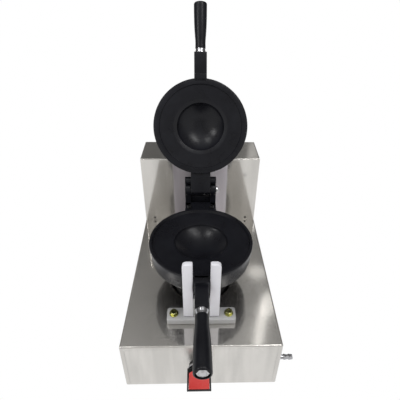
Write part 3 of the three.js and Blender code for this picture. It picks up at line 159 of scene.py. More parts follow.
def rounded_box(shell, low, high, radius):
    """P(n) = centre + sign(n) (half - r) + r n, with n over the unit sphere, split at each sign."""
    low, high = np.asarray(low), np.asarray(high)
    half = (high - low) / 2 - radius
    quarter = np.linspace(0, np.pi / 2, 5)
    u = np.concatenate([q * np.pi / 2 + quarter for q in range(4)])
    v = np.concatenate([quarter - np.pi / 2, quarter])[:, None]
    across = np.repeat([(1, -1, -1, 1), (1, 1, -1, -1)], len(quarter), axis=1)
    rise = np.repeat([-1, 1], len(quarter))[:, None]
    reach = radius * np.maximum(np.cos(v), 1e-6)
    rings = np.stack([
        across[0] * half[0] + reach * np.cos(u), across[1] * half[1] + reach * np.sin(u),
        rise * half[2] + radius * np.sin(v) + 0 * u,
    ], -1)
    return shell.loft(rings + (low + high) / 2)


def arc_corners(corners, steps=6):
    """Outline from (u, v, radius) corners: each corner is a tangent arc of its radius."""
    out = []
    for i, (u, v, radius) in enumerate(corners):
        p = np.array([u, v], float)
        before = np.array(corners[i - 1][:2]) - p
        after = np.array(corners[(i + 1) % len(corners)][:2]) - p
        a, b = before / np.linalg.norm(before), after / np.linalg.norm(after)
        turn = math.acos(max(-1.0, min(1.0, float(a @ b))))
        reach = radius / math.tan(turn / 2)
        middle = p + (a + b) / np.linalg.norm(a + b) * radius / math.sin(turn / 2)
        start, end = p + a * reach - middle, p + b * reach - middle
        first = math.atan2(start[1], start[0])
        sweep = (math.atan2(end[1], end[0]) - first + math.pi) % (2 * math.pi) - math.pi
        q = first + sweep * np.linspace(0, 1, steps + 1)
        out.append(middle + radius * np.stack([np.cos(q), np.sin(q)], 1))
    return np.vstack(out)


def oblong(low, high, radius):
    """Outline of a rectangle with rounded corners, from two opposite corners."""
    (u0, v0), (u1, v1) = low, high
    return arc_corners([(u0, v0, radius), (u1, v0, radius), (u1, v1, radius), (u0, v1, radius)])


def inset(outline, distance):
    """Moves an outline inward along its mitred normals by a distance."""
    after = np.roll(outline, -1, 0)
    area = np.sum(outline[:, 0] * after[:, 1] - after[:, 0] * outline[:, 1])
    edge = after - outline
    length = np.maximum(np.linalg.norm(edge, axis=1, keepdims=True), 1e-9)
    normal = np.stack([-edge[:, 1], edge[:, 0]], 1) / length * math.copysign(1, area)
    both = normal + np.roll(normal, 1, 0)
    both /= np.maximum(np.linalg.norm(both, axis=1, keepdims=True), 1e-9)
    cosine = np.maximum(np.sum(both * normal, axis=1, keepdims=True), 0.5)
    return outline + both / cosine * distance


def plate(shell, outline, low, high, axis, edge):
    """P(t, s) = outline(t) inset by e (1 - sin s) at depth low + e (1 - cos s), mirrored at the far face."""
    levels = [(edge * (1 - math.sin(s)), low + edge * (1 - math.cos(s)))
              for s in np.linspace(0, np.pi / 2, 4)]
    levels += [(pull, high + low - depth) for pull, depth in reversed(levels)]
    return shell.loft([
        np.column_stack([inset(outline, pull), np.full(len(outline), depth)])[:, PLATE_AXES[axis]]
        for pull, depth in levels])


def hex_wave(flats):
    """Radius factor of a hexagon: w(u) = min(1, (flats / 2) / (r cos(u folded to 60 degrees)))."""
    def wave(u, r, h):
        folded = (u + np.pi / 6) % (np.pi / 3) - np.pi / 6
        return np.minimum(1.0, flats / 2 / np.cos(folded) / np.maximum(r, 1e-6))
    return wave


def rod(radius, low, high, chamfer):
    """Profile of a plain rod with a small chamfer at both ends."""
    return [(0, low), (radius - chamfer, low), (radius, low + chamfer),
            (radius, high - chamfer), (radius - chamfer, high), (0, high)]


def forward(profile):
    """Turns a profile to face the front, as its axis runs to the rear."""
    return [(r, -s) for r, s in profile]


def arc(centre, radius, start, end, count=24):
    """Points on a circle between two angles in degrees."""
    a = np.radians(np.linspace(start, end, count))
    return np.stack([centre[0] + radius * np.cos(a), centre[1] + radius * np.sin(a)], 1)


def linked(name, data):
    """A new object in the scene."""
    obj = bpy.data.objects.new(name, data)
    bpy.context.scene.collection.objects.link(obj)
    return obj


def piece(name, shell, body, slot, stands_for=None, look=None, outside=None):
    """Makes the mesh from whole arrays, shades it, and lets it ride on its body. The lid's turns open."""
    points = opened(shell.points) if body == "lid" else shell.points
    mesh = bpy.data.meshes.new(name)
    mesh.from_pydata(to_row(points).tolist(), [], shell.faces)
    mesh.polygons.foreach_set("use_smooth", np.ones(len(mesh.polygons), bool))
    mesh.set_sharp_from_angle(angle=math.radians(SHARP_ANGLE))
    mesh.update()
    if mesh.validate():
        raise RuntimeError(f"{name} had bad faces")
    if outside is not None:
        mesh.attributes.new("Outside", "FLOAT", "POINT").data.foreach_set("value", outside)
    obj = linked(name, mesh)
    mesh.materials.append(material_for(look or slot))
    if stands_for:
        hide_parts(stands_for)
    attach(obj, body)


def turned(name, profile, axis, centre, body, slot, stands_for, sides=None, wave=None):
    """Makes a piece that is turned from one profile."""
    piece(name, lathe(Shell(), profile, axis, centre, sides, wave), body, slot, stands_for)


# Node tools

def feed(tree, target, value):
    """Links a socket into an input, or sets its value; a colour gets its alpha."""
    if isinstance(value, bpy.types.NodeSocket):
        tree.links.new(value, target)
    elif target.type == "RGBA":
        target.default_value = (*value, 1.0)
    else:
        target.default_value = value


def node(tree, kind, inputs=None, **settings):
    """Adds one shader node; inputs are values, or sockets to link from."""
    made = tree.nodes.new("ShaderNode" + kind)
    for key, value in settings.items():
        setattr(made, key, value)
    for key, value in (inputs or {}).items():
        feed(tree, made.inputs[key], value)
    return made


def maths(tree, operation, total, *others, clamp=False):
    """A row of Math nodes: the operation on the first value and each other in turn."""
    for value in others or (0.0,):
        made = node(tree, "Math", {0: total, 1: value}, operation=operation)
        total = made.outputs[0]
    made.use_clamp = clamp
    return total


def span(tree, value, low, high, to_low=0.0, to_high=1.0):
    """Maps a value from low..high to to_low..to_high, held at both ends."""
    return node(tree, "MapRange", {
        "Value": value, "From Min": low, "From Max": high, "To Min": to_low, "To Max": to_high,
    }).outputs["Result"]


def mixed(tree, factor, a, b):
    """Mixes two colours."""
    return node(tree, "Mix", {0: factor, 6: a, 7: b}, data_type="RGBA").outputs[2]


def noise(tree, place, scale, detail, rough=0.5, warp=0.0):
    """A Noise Texture's grey value."""
    return node(tree, "TexNoise", {
        "Vector": place, "Scale": scale, "Detail": detail, "Roughness": rough, "Distortion": warp,
    }).outputs["Fac"]


def stretched(tree, place, factors):
    """A place multiplied axis by axis, so that a pattern on it grows long where the factor is small."""
    return node(tree, "VectorMath", {0: place, 1: factors}, operation="MULTIPLY").outputs[0]


def split(tree, vector):
    """A vector's X, Y and Z."""
    return node(tree, "SeparateXYZ", {0: vector}).outputs


def facing(tree):
    """The surface's own normal."""
    return node(tree, "NewGeometry").outputs["Normal"]


def node_group(title, numbers):
    """Makes a function's nodes a shared group, built once, with a Vector and numbers as its inputs."""
    def sockets(group, way, kind, names):
        return [group.interface.new_socket(name=name, in_out=way, socket_type="NodeSocket" + kind)
                for name in names]

    def decorate(build):
        def place_group(tree, **inputs):
            group = bpy.data.node_groups.get(title)
            if group is None:
                group = bpy.data.node_groups.new(title, "ShaderNodeTree")
                sockets(group, "INPUT", "Vector", ["Vector"])
                for socket, value in zip(sockets(group, "INPUT", "Float", numbers), numbers.values()):
                    socket.default_value = value
                results = build(group, group.nodes.new("NodeGroupInput").outputs)
                sockets(group, "OUTPUT", "Float", results)
                taken = group.nodes.new("NodeGroupOutput").inputs
                for name, value in results.items():
                    group.links.new(value, taken[name])
            made = node(tree, "Group", node_tree=group)
            for key, value in inputs.items():
                feed(tree, made.inputs[key.replace("_", " ")], value)
            return made.outputs
        return place_group
    return decorate


@node_group("Brushed Grain", {"Along X": 1.0, "Along Y": 1.0, "Along Z": 1.0, "Density": 900.0})
def brushed_grain(group, given):
    """Long fine scratches along one axis, slow patches, and soft streaks that run up upright faces."""
    place = given["Vector"]
    factors = node(group, "CombineXYZ", {0: given["Along X"], 1: given["Along Y"], 2: given["Along Z"]})
    fine = noise(group, stretched(group, place, factors.outputs[0]), given["Density"], 5.0, 0.7)
    patches = noise(group, place, 9.0, 3.0, 0.55)
    streaks = noise(group, stretched(group, place, (1.0, 0.3, 0.12)), 40.0, 2.0)
    level = span(group, maths(group, "ABSOLUTE", split(group, facing(group))["Z"]), 0.4, 0.8)
    return {
        "Height": fine,
        "Patches": span(group, patches, 0.3, 0.7),
        "Streaks": maths(group, "ADD", span(group, streaks, 0.4, 0.6), level, clamp=True),
    }


@node_group("Cast Skin", {"Grain Size": 700.0, "Pores": 0.3})
def cast_skin(group, given):
    """The small bumps and pores of a casting or of a sprayed coating."""
    place, size = given["Vector"], given["Grain Size"]
    cells = node(group, "TexVoronoi", {"Vector": place, "Scale": size}).outputs["Distance"]
    pores = maths(group, "MULTIPLY", span(group, cells, 0.0, 0.25, -1.0, 0.0), given["Pores"])
    return {
        "Height": maths(group, "ADD", noise(group, place, size, 4.0, 0.6), pores),
        "Mottle": span(group, noise(group, place, 28.0, 5.0, 0.6), 0.32, 0.68),
    }


@node_group("Edge Wear", {"Width": 0.0008, "Amount": 0.5})
def edge_wear(group, given):
    """Marks convex edges: the corner-rounded normal leaves the true one there, broken up by noise."""
    soft = node(group, "Bevel", {"Radius": given["Width"]}, samples=4).outputs[0]
    same = node(group, "VectorMath", {0: soft, 1: facing(group)}, operation="DOT_PRODUCT")
    edge = span(group, same.outputs["Value"], 0.995, 0.86)
    gaps = span(group, noise(group, given["Vector"], 160.0, 6.0, 0.7), 0.36, 0.6)
    return {"Mask": maths(group, "MULTIPLY", edge, gaps, given["Amount"], clamp=True)}


@node_group("Dust And Smears", {"Amount": 0.3})
def dust_and_smears(group, given):
    """Thin dust and dried smears, thicker on faces that look up."""
    speck = span(group, noise(group, given["Vector"], 420.0, 3.0, 0.8), 0.55, 0.75)
    smear = span(group, noise(group, given["Vector"], 14.0, 6.0, 0.62, 1.2), 0.42, 0.72)
    lying = span(group, split(group, facing(group))["Z"], 0.1, 0.95, 0.25, 1.0)
    return {"Mask": maths(group, "MULTIPLY", speck, smear, lying, given["Amount"], clamp=True)}


@node_group("Dull Band", {
    "Middle": ORIGIN[0], "Half Width": 0.058, "Front": to_row([0, DEEP, 0])[1], "Softness": 0.002,
})
def face_band(group, given):
    """A band up one front face: |x - middle|, with a small drift, under its half width."""
    part = split(group, given["Vector"])
    drift = span(group, noise(group, given["Vector"], 18.0, 3.0), 0.3, 0.7, -0.0008, 0.0008)
    away = maths(group, "ABSOLUTE", maths(group, "SUBTRACT", part["X"], given["Middle"]))
    beyond = maths(group, "SUBTRACT", maths(group, "ADD", away, drift), given["Half Width"])
    ahead = maths(group, "ABSOLUTE", maths(group, "SUBTRACT", part["Y"], given["Front"]))
    inside = span(group, maths(group, "DIVIDE", beyond, given["Softness"]), 1.0, -1.0)
    return {"Mask": maths(group, "MULTIPLY", inside, span(group, ahead, 0.004, 0.002))}


@node_group("Window Pane", {"Azimuth": 10.0, "Elevation": 10.0, "Width": 10.0, "Height": 10.0})
def window_pane(group, given):
    """A soft pane in the sky: 1 - (azimuth off / width)^2 - (elevation off / height)^2, held to 0..1."""
    part = split(group, given["Vector"])
    turn = maths(group, "DEGREES", maths(group, "ARCTAN2", part["X"], part["Y"]))
    rise = maths(group, "DEGREES", maths(group, "ARCSINE", part["Z"]))
    across = maths(group, "DIVIDE", maths(group, "SUBTRACT", turn, given["Azimuth"]), given["Width"])
    along = maths(group, "DIVIDE", maths(group, "SUBTRACT", rise, given["Elevation"]), given["Height"])
    far = maths(group, "ADD", maths(group, "MULTIPLY", across, across),
                maths(group, "MULTIPLY", along, along))
    return {"Mask": span(group, far, 1.0, 0.3)}


# Materials

def fresh(name):
    """A new Principled material, with its tree, shader inputs and Object coordinates."""
    material = bpy.data.materials.new(name)
    material.use_nodes = True
    tree = material.node_tree
    tree.nodes.clear()
    shader = node(tree, "BsdfPrincipled")
    node(tree, "OutputMaterial", {0: shader.outputs[0]})
    return material, tree, shader.inputs, node(tree, "TexCoord").outputs["Object"]


def darker(values, share):
    """A colour brought down to a share of its light."""
    return [c * share for c in values]


def dusted(tree, shader, dirt, clean, dust, level, dulling):
    """Sets the colour, with dust where the dirt lies, and the roughness, which the dirt raises."""
    rougher = maths(tree, "MULTIPLY", dirt, dulling)
    feed(tree, shader["Roughness"], maths(tree, "ADD", level, rougher, clamp=True))
    feed(tree, shader["Base Color"], mixed(tree, dirt, clean, dust))


def bumped(tree, shader, height, strength, distance, soften=0.0):
    """Links a bump of one height into the shader, over edges rounded by a bevel if soften isn't 0."""
    bump = node(tree, "Bump", {"Height": height, "Strength": strength, "Distance": distance})
    if soften:
        feed(tree, bump.inputs["Normal"], node(tree, "Bevel", {"Radius": soften}, samples=6).outputs[0])
    feed(tree, shader["Normal"], bump.outputs[0])


def painted_reflection_band(tree, place, streaks, clean, cover, level):
    """The tower's pale band of painted reflection, painted darker on its left and a little rougher, and a
    rubbed patch under it on the panel.
    """
    middle, front = float(ORIGIN[0]), float(ORIGIN[1])
    band_mask = face_band(tree, Vector=place)["Mask"]
    side = span(tree, split(tree, place)["X"], middle - 0.02, middle + 0.02)
    # Painted reflection: the band's pale and dim lilac colours, both painted darker on the left and streaked
    # by the grain
    pale = mixed(tree, side, (0.56, 0.53, 0.56), (0.94, 0.9, 0.95))
    dim = mixed(tree, side, (0.44, 0.41, 0.44), (0.78, 0.74, 0.79))
    clean = mixed(tree, band_mask, clean, mixed(tree, streaks, dim, pale))
    cover = maths(tree, "SUBTRACT", cover, maths(tree, "MULTIPLY", band_mask, 0.3))
    rubbed = face_band(tree, Vector=place, Middle=middle - 0.003, Half_Width=0.02, Front=front,
                       Softness=0.012)["Mask"]
    band_mask = maths(tree, "ADD", band_mask, maths(tree, "MULTIPLY", rubbed, 1.6))
    return clean, cover, maths(tree, "ADD", level, maths(tree, "MULTIPLY", band_mask, 0.3))


DUST_ON_METAL = (0.42, 0.41, 0.39)
DUST_ON_COAT = (0.3, 0.29, 0.28)
METAL_BUMP, COAT_BUMP = 0.0002, 0.0003


def metal(name, base, worn, rough, grain=(1.0, 1.0, 1.0), density=900.0, strength=0.1,
          spread=0.08, wear=0.3, dust=0.15, soften=0.0, haze=0.0, band=False):
    """Metal with a directed grain, patchy gloss, bright edges and a little dust, and where asked a pale band
    of painted reflection up the tower's front.
    """
    material, tree, shader, place = fresh(name)
    brush = brushed_grain(tree, Vector=place, Along_X=grain[0], Along_Y=grain[1], Along_Z=grain[2],
                          Density=density)
    edge = edge_wear(tree, Vector=place, Amount=wear)["Mask"]
    dirt = dust_and_smears(tree, Vector=place, Amount=dust)["Mask"]
    patched = mixed(tree, brush["Patches"], darker(base, 0.9), base)
    lined = mixed(tree, span(tree, brush["Height"], 0.3, 0.7), patched, base)
    lined = mixed(tree, brush["Streaks"], darker(base, 0.86), lined)
    clean = mixed(tree, edge, lined, worn)
    cover = span(tree, dirt, 0.0, 1.0, 1.0, 0.4)
    fine = (0.5, 0.56, 0.0, haze) if haze else (0.3, 0.7, -spread / 2, spread / 2)
    level = maths(tree, "ADD", span(tree, brush["Patches"], 0.0, 1.0, rough - spread, rough + spread),
                  span(tree, brush["Height"], *fine))
    # The stainless gets a band of painted reflection up the tower's front
    if band:
        clean, cover, level = painted_reflection_band(tree, place, brush["Streaks"], clean, cover, level)
    dusted(tree, shader, dirt, clean, DUST_ON_METAL, level, 0.4)
    feed(tree, shader["Metallic"], cover)
    bumped(tree, shader, brush["Height"], strength, METAL_BUMP, soften)
    return material


def coated(name, base, light, rough, grain=700.0, pores=0.3, strength=0.25, spread=0.06,
           wear=0.3, worn=(0.25, 0.25, 0.26), dust=0.2, metallic=0.0, specular=0.5, outer=None):
    """A coating, casting or moulding: mottled colour, small bumps, rubbed edges and dust."""
    material, tree, shader, place = fresh(name)
    skin = cast_skin(tree, Vector=place, Grain_Size=grain, Pores=pores)
    edge = edge_wear(tree, Vector=place, Amount=wear)["Mask"]
    dirt = dust_and_smears(tree, Vector=place, Amount=dust)["Mask"]
    body = mixed(tree, skin["Mottle"], base, light)
    # Outer colour: a lighter, bluish coat on a mould's wall and back, partly its own tone and partly painted
    # bounce light from the deck below
    if outer:
        back = node(tree, "Attribute", attribute_name="Outside").outputs["Fac"]
        body = mixed(tree, back, body, outer)
    level = span(tree, skin["Mottle"], 0.0, 1.0, rough - spread, rough + spread)
    dusted(tree, shader, dirt, mixed(tree, edge, body, worn), DUST_ON_COAT, level, 0.3)
    feed(tree, shader["Metallic"], metallic)
    feed(tree, shader["Specular IOR Level"], specular)
    bumped(tree, shader, skin["Height"], strength, COAT_BUMP)
    return material


# Maker, name, colour, second colour (worn metal or lighter mottle) and values of each finish.
# A value that is a word is read from the settings.
FINISHES = {
    # The stainless sheet carries the tower's band of painted reflection
    "stainless": (metal, "Stainless sheet", (0.65, 0.631, 0.601), (0.8, 0.79, 0.77), dict(
        rough="sheet_roughness", grain=(1.0, 0.35, 0.35), density=7000.0, strength=0.004, spread=0.03,
        wear=0.2, dust="dust", soften=0.0009, haze=0.34, band=True)),
    "yellow_zinc": (metal, "Yellow zinc", (0.55, 0.54, 0.22), (0.75, 0.74, 0.5), dict(
        rough=0.25, density=500.0, wear=0.4)),
    "chrome": (metal, "Chrome plate", (0.43, 0.43, 0.45), (0.7, 0.7, 0.7), dict(
        rough=0.2, density=300.0, strength=0.02, spread=0.03, wear=0.2)),
    "steel": (metal, "Bright steel", (0.56, 0.56, 0.57), (0.75, 0.75, 0.75), dict(
        rough=0.3, density=800.0)),
    "brass": (metal, "Turned brass", (0.62, 0.46, 0.2), (0.75, 0.62, 0.36), dict(
        rough=0.3, density=700.0)),
    "copper": (metal, "Copper pipe", (0.62, 0.32, 0.18), (0.8, 0.5, 0.35), dict(
        rough=0.3, density=600.0)),
    "black_steel": (coated, "Blackened steel", (0.012, 0.012, 0.013), (0.02, 0.02, 0.022), dict(
        rough=0.4, grain=500.0, strength=0.1, worn=(0.1, 0.1, 0.1), metallic=0.5)),
    "rubber_feet": (coated, "Foot rubber", (0.018, 0.018, 0.018), (0.03, 0.03, 0.03), dict(
        rough=0.75, worn=(0.06, 0.06, 0.06))),
    # Two copies of one aluminium: the darker is painted shade on the base plate and web under the mould, the
    # lighter is painted light on the arms' front faces
    "cast_aluminium": (coated, "Cast aluminium", (0.4, 0.4, 0.405), (0.47, 0.47, 0.475), dict(
        rough=0.42, grain=520.0, strength=0.3, wear=0.5, worn=(0.72, 0.72, 0.74), metallic=0.2)),
    "milled_aluminium": (coated, "Milled aluminium", (0.74, 0.74, 0.785), (0.8, 0.8, 0.85), dict(
        rough=0.4, grain=420.0, strength=0.15, wear=0.5, worn=(0.86, 0.86, 0.88), dust=0.12,
        metallic=0.15)),
    "non_stick": (coated, "Non-stick coat", (0.0055, 0.0055, 0.0075), (0.008, 0.0085, 0.0115), dict(
        rough="coat_roughness", grain=900.0, wear="edge_wear", worn=(0.05, 0.05, 0.055), dust=0.05,
        specular=0.2, outer=(0.021, 0.022, 0.027))),
    "bakelite": (coated, "Bakelite", (0.0045, 0.0045, 0.0065), (0.007, 0.0075, 0.0105), dict(
        rough=0.34, grain=350.0, strength=0.08, wear=0.2, worn=(0.03, 0.03, 0.034), dust=0.05,
        specular=0.2)),
    "cast_iron": (coated, "Cast iron", (0.02, 0.02, 0.021), (0.038, 0.037, 0.036), dict(
        rough=0.62, grain=420.0, pores=0.6, strength=0.6, wear=0.35, worn=(0.12, 0.11, 0.1),
        dust=0.25, metallic=0.3)),
    "knob_black": (coated, "Knob black", (0.006, 0.006, 0.007), (0.01, 0.01, 0.011), dict(
        rough=0.4, grain=600.0, strength=0.12, worn=(0.05, 0.05, 0.05), dust=0.1, specular=0.3)),
    "knob_red": (coated, "Knob red", (0.6, 0.035, 0.03), (0.66, 0.05, 0.04), dict(
        rough=0.42, grain=500.0, strength=0.1, worn=(0.75, 0.2, 0.15))),
    "ceramic": (coated, "Ceramic", (0.78, 0.76, 0.7), (0.83, 0.81, 0.76), dict(
        rough=0.25, grain=500.0, strength=0.08, wear=0.0)),
    "lead_red": (coated, "Lead cover", (0.4, 0.05, 0.04), (0.45, 0.06, 0.05), dict(
        rough=0.5, wear=0.0)),
}
MATERIALS = {}


def material_for(finish):
    """The material of a finish, made once."""
    if finish not in MATERIALS:
        maker, name, base, second, values = FINISHES[finish]
        settings = bpy.context.scene.burger_finishes
        read = {key: getattr(settings, value) if isinstance(value, str) else value
                for key, value in values.items()}
        MATERIALS[finish] = maker(name, base, second, **read)
    return MATERIALS[finish]


# Settings

def number(name, description, default):
    """A number of a property group."""
    return bpy.props.FloatProperty(name=name, description=description, default=default)


class BurgerFinishSettings(bpy.types.PropertyGroup):
    """Looks of the finishes."""
    sheet_roughness: number("Sheet roughness", "Mean roughness of the stainless sheet", 0.07)
    coat_roughness: number("Coat roughness", "Mean roughness of the non-stick coat", 0.3)
    edge_wear: number("Edge wear", "Rubbing on the coated edges", 0.35)
    dust: number("Dust", "Dust and smears on the sheet", 0.04)


class BurgerShapeSettings(bpy.types.PropertyGroup):
    """Numbers of facets and edge rounding of the surfaces."""
    sides: bpy.props.IntProperty(
        name="Sides", description="Facets round a large turned piece", default=192)
    small_sides: bpy.props.IntProperty(
        name="Small sides", description="Facets round a small turned piece", default=64)
    edge: bpy.props.FloatProperty(
        name="Edge", description="Rounding of cast edges, in metres", default=0.0012, unit="LENGTH")


class BurgerStageSettings(bpy.types.PropertyGroup):
    """The studio."""
    key_power: number("Key power", "Power of the tall softbox in watts", 5.5)
    fill_power: number("Fill power", "Power of the side softbox in watts", 3.0)
    ceiling_power: number("Ceiling power", "Power of the small ceiling light in watts", 2.0)
    rear_level: number("Rear level", "Brightness of the room behind the machine", 0.16)
    front_level: number("Front level", "Brightness of the room behind the camera", 0.55)
    top_level: number("Top level", "Brightness added towards the ceiling", 0.25)
    floor_glow: number("Floor glow", "Light given by the floor itself", 0.2)


# Solids and moulds

class BURGER_OT_solids(bpy.types.Operator):
    """Gives every carried-over solid its finished material"""
    bl_idname = "burger_maker.solids"
    bl_label = "Finish Solids"

    def execute(self, context):
        slots = {entry["node"]: entry["material_slot"] for entry in frame["record"]["subparts"]}
        for name, obj in frame["nodes"].items():
            obj.data.materials.clear()
            obj.data.materials.append(material_for(slots[name]))
        return {"FINISHED"}


POCKET_LIP = -8.7
MOULD_BACK = [
    (88.2, 0.0), (88.75, -0.25), (89.0, -0.8), (88.6, -5.0), (86.2, -30.5), (85.6, -33.0), (84.2, -35.2),
    (82.2, -36.5), (80.0, -37.0), (76.0, -37.0), (74.9, -36.5), (74.3, -35.0), (73.1, -20.5),
    (72.0, -19.2), (70.5, -18.9), (56.5, -18.9), (54.8, -19.4), (53.9, -21.0), (50.4, -35.6),
    (49.2, -37.1), (46.0, -37.8), (20.0, -39.4), (0.0, -40.0)]
LOWER_FACE = [
    (45.5, -8.0), (46.1, -5.4), (46.4, -4.85), (47.0, -4.6), (82.3, -4.6), (82.9, -4.4), (83.2, -3.9),
    (84.0, -0.8), (84.4, -0.2), (85.2, 0.0), *MOULD_BACK]
LID_FACE = [
    (44.0, -8.0), (44.6, -5.3), (44.9, -4.75), (45.5, -4.5), (51.0, -2.65), (51.7, -2.45), (52.6, -2.4),
    (76.8, -2.4), (77.3, -2.2), (78.3, -0.5), (78.7, -0.1), (79.4, 0.0), *MOULD_BACK]
# Front and back of the lug that carries a handle bar
LUG_REACH = (43.0, 57.5)


def bowl(lip, depth):
    """Pocket: h = POCKET_LIP - (sqrt(R^2 - r^2) - (R - depth)), with R = (lip^2 + depth^2) / 2 depth."""
    big = (lip ** 2 + depth ** 2) / (2 * depth)
    r = np.linspace(0, lip, 22)
    return np.stack([r, POCKET_LIP - (np.sqrt(big ** 2 - r ** 2) - (big - depth))], 1).tolist()


def outer_wall(points, level, way):
    """1 on a mould's wall and back: depth over 1 with r > 85.5, or depth over 15 with r > 46."""
    r = np.hypot(points[:, 0], points[:, 1] - CENTRE_Y)
    depth = (points[:, 2] - level) * way
    return (((depth > 1.0) & (r > 85.5)) | ((depth > 15.0) & (r > 46.0))).astype(np.float32)


def square_bar(shell, half, levels, reach):
    """Cast bar along Y: a rounded rectangle lofted between two y values, with nearly sharp ends."""
    plate(shell, oblong((-half, levels[0]), (half, levels[1]), 1.6), *reach, "y", 0.2)


class BURGER_OT_moulds(bpy.types.Operator):
    """Builds both round moulds with their lugs and hinge ledges"""
    bl_idname = "burger_maker.moulds"
    bl_label = "Build Moulds"

    def execute(self, context):
        for name, body, level, way, profile, lug, ledge in (
            ("lower", "mould_set", AXIS, -1, bowl(45.2, 16.9) + LOWER_FACE, 12.1,
             ((-28.0, 222.0, AXIS - 24.3), (28.0, 245.0, AXIS - 14.3))),
            ("lid", "lid", LID_LEVEL, 1, forward(bowl(43.7, 19.3) + LID_FACE), 11.75,
             ((-19.0, 222.0, AXIS + 14.8), (19.0, 236.0, AXIS + 24.8))),
        ):
            mould = lathe(Shell(), profile, "z", (0, CENTRE_Y, level), context.scene.burger_shapes.sides)
            square_bar(mould, lug, sorted((level, level + way * 22.0)), LUG_REACH)
            rounded_box(mould, *ledge, 1.2)
            piece(f"mould_{name}", mould, body, "non_stick", f"{name}_mould",
                  outside=outer_wall(mould.points, level, way))
        return {"FINISHED"}


# Handles

GRIP_START = 144.2
GRIP_LENGTH = 80.0
# Shares of the grip's length, and its radius there
GRIP_SWELL = ([0, 0.04, 0.13, 0.235, 0.33, 0.45, 0.6, 0.8, 0.93, 1],
              [9.75, 9.75, 9.4, 10.06, 10.7, 11.3, 11.75, 12.02, 12.1, 12.05])
GRIP_END = [(11.6, 223.4), (10.9, 224.0), (10.2, 224.2), (9.8, 223.9), (9.6, 223.2), (9.6, 220.8),
            (4.3, 220.8), (4.3, GRIP_START)]
FERRULE = [(4.3, 135.7), (9.8, 135.7), (10.2, 135.9), (10.3, 136.8), (9.9, 138.2), (9.2, 140.8),
           (8.9, 142.6), (8.9, 143.9), (4.3, 143.9), (4.3, 135.7)]
CROWN = [(0, 221.1), (8.25, 221.1), (8.25, 222.5), (7.9, 222.8), (7.2, 222.95), (5.2, 223.02),
         (4.9, 223.52), (4.0, 224.08), (2.4, 224.45), (0, 224.57)]


def grip_profile():
    """Grip from its ferrule to its end: r(t) through the swell's points, evened over five steps."""
    along = np.linspace(0, 1, 40)
    swell = np.interp(along, *GRIP_SWELL)
    soft = np.convolve(np.pad(swell, 2, mode="edge"), np.ones(5) / 5, mode="valid")
    side = [(float(r), GRIP_START + float(t) * GRIP_LENGTH) for r, t in zip(soft, along)]
    return [(4.3, GRIP_START), (9.2, GRIP_START), (9.6, 144.5), *side[1:-1], *GRIP_END]


class BURGER_OT_handles(bpy.types.Operator):
    """Builds both handles: bar, ferrule, grip and end nut"""
    bl_idname = "burger_maker.handles"
    bl_label = "Build Handles"

    def execute(self, context):
        tang = [(0, 130.0), (4.0, 130.0), (4.0, 223.0), (3.6, 223.4), (0, 223.4)]
        for name, body, sign, half, levels in (
            ("lower", "mould_set", -1, 10.25, (AXIS - 25.35, AXIS - 4.85)),
            ("lid", "lid", 1, 11.75, (LID_LEVEL, AXIS + 25.35)),
        ):
            middle = (0, CENTRE_Y, AXIS + sign * GRIP_OFFSET)
            bar = Shell()
            square_bar(bar, half, levels, (CENTRE_Y - 135.4, CENTRE_Y - 98.3))
            lathe(bar, forward(tang), "y", middle, 32)
            piece(f"{name}_bar", bar, body, "non_stick", f"{name}_handle_bar")
            for part, profile, slot, stands_for, shape in (
                ("ferrule_turned", FERRULE, "chrome", "ferrule", ()),
                ("grip_moulded", grip_profile(), "bakelite", "grip", ()),
                ("cap_nut", CROWN, "steel", "grip_nut", (72, hex_wave(14.3))),
            ):
                turned(f"{name}_{part}", forward(profile), "y", middle, body, slot,
                       f"{name}_{stands_for}", *shape)
        return {"FINISHED"}


# Hinge

YOKE_HALF, TONGUE_HALF = 30.5, 19.0
# Front of the yoke's ears and of the tongue's web
EAR_FOOT, WEB_FOOT = 246.0, 239.0
EAR_RADIUS = 12.0
# Barrel that stops the open lid, as (y, z)
STOP_BARREL = (PIN[0] - 18.91, PIN[1] - 6.51)
HEADED_PIN = [(0, -30.2), (4.6, -30.2), (5.0, -29.8), (5.0, 30.8), (5.7, 30.8), (6.0, 31.1),
              (6.0, 34.3), (5.7, 35.2), (4.9, 35.9), (0, 35.9)]
SHAFT_BOSS = [(0, 275.0), (15.0, 275.0), (15.0, 290.8), (14.6, 291.6), (13.8, 292.0), (0, 292.0)]
CAP_SCREW = [(0, -18.0), (2.5, -18.0), (2.5, 0), (4.2, 0), (4.2, 4.5), (4.0, 4.9), (3.7, 5.0),
             (2.6, 5.0), (2.5, 4.8), (2.5, 2.4), (0, 2.2)]


def saddle(half, back):
    """Plate outline with a concave seat y = centre + sqrt(R^2 - x^2) on the rim, and straight sides."""
    x = np.linspace(-half, half, 14)
    y = CENTRE_Y + np.sqrt((RADIUS + 0.3) ** 2 - x ** 2)
    return np.vstack([np.stack([x, y], 1), [[half, back], [-half, back]]])


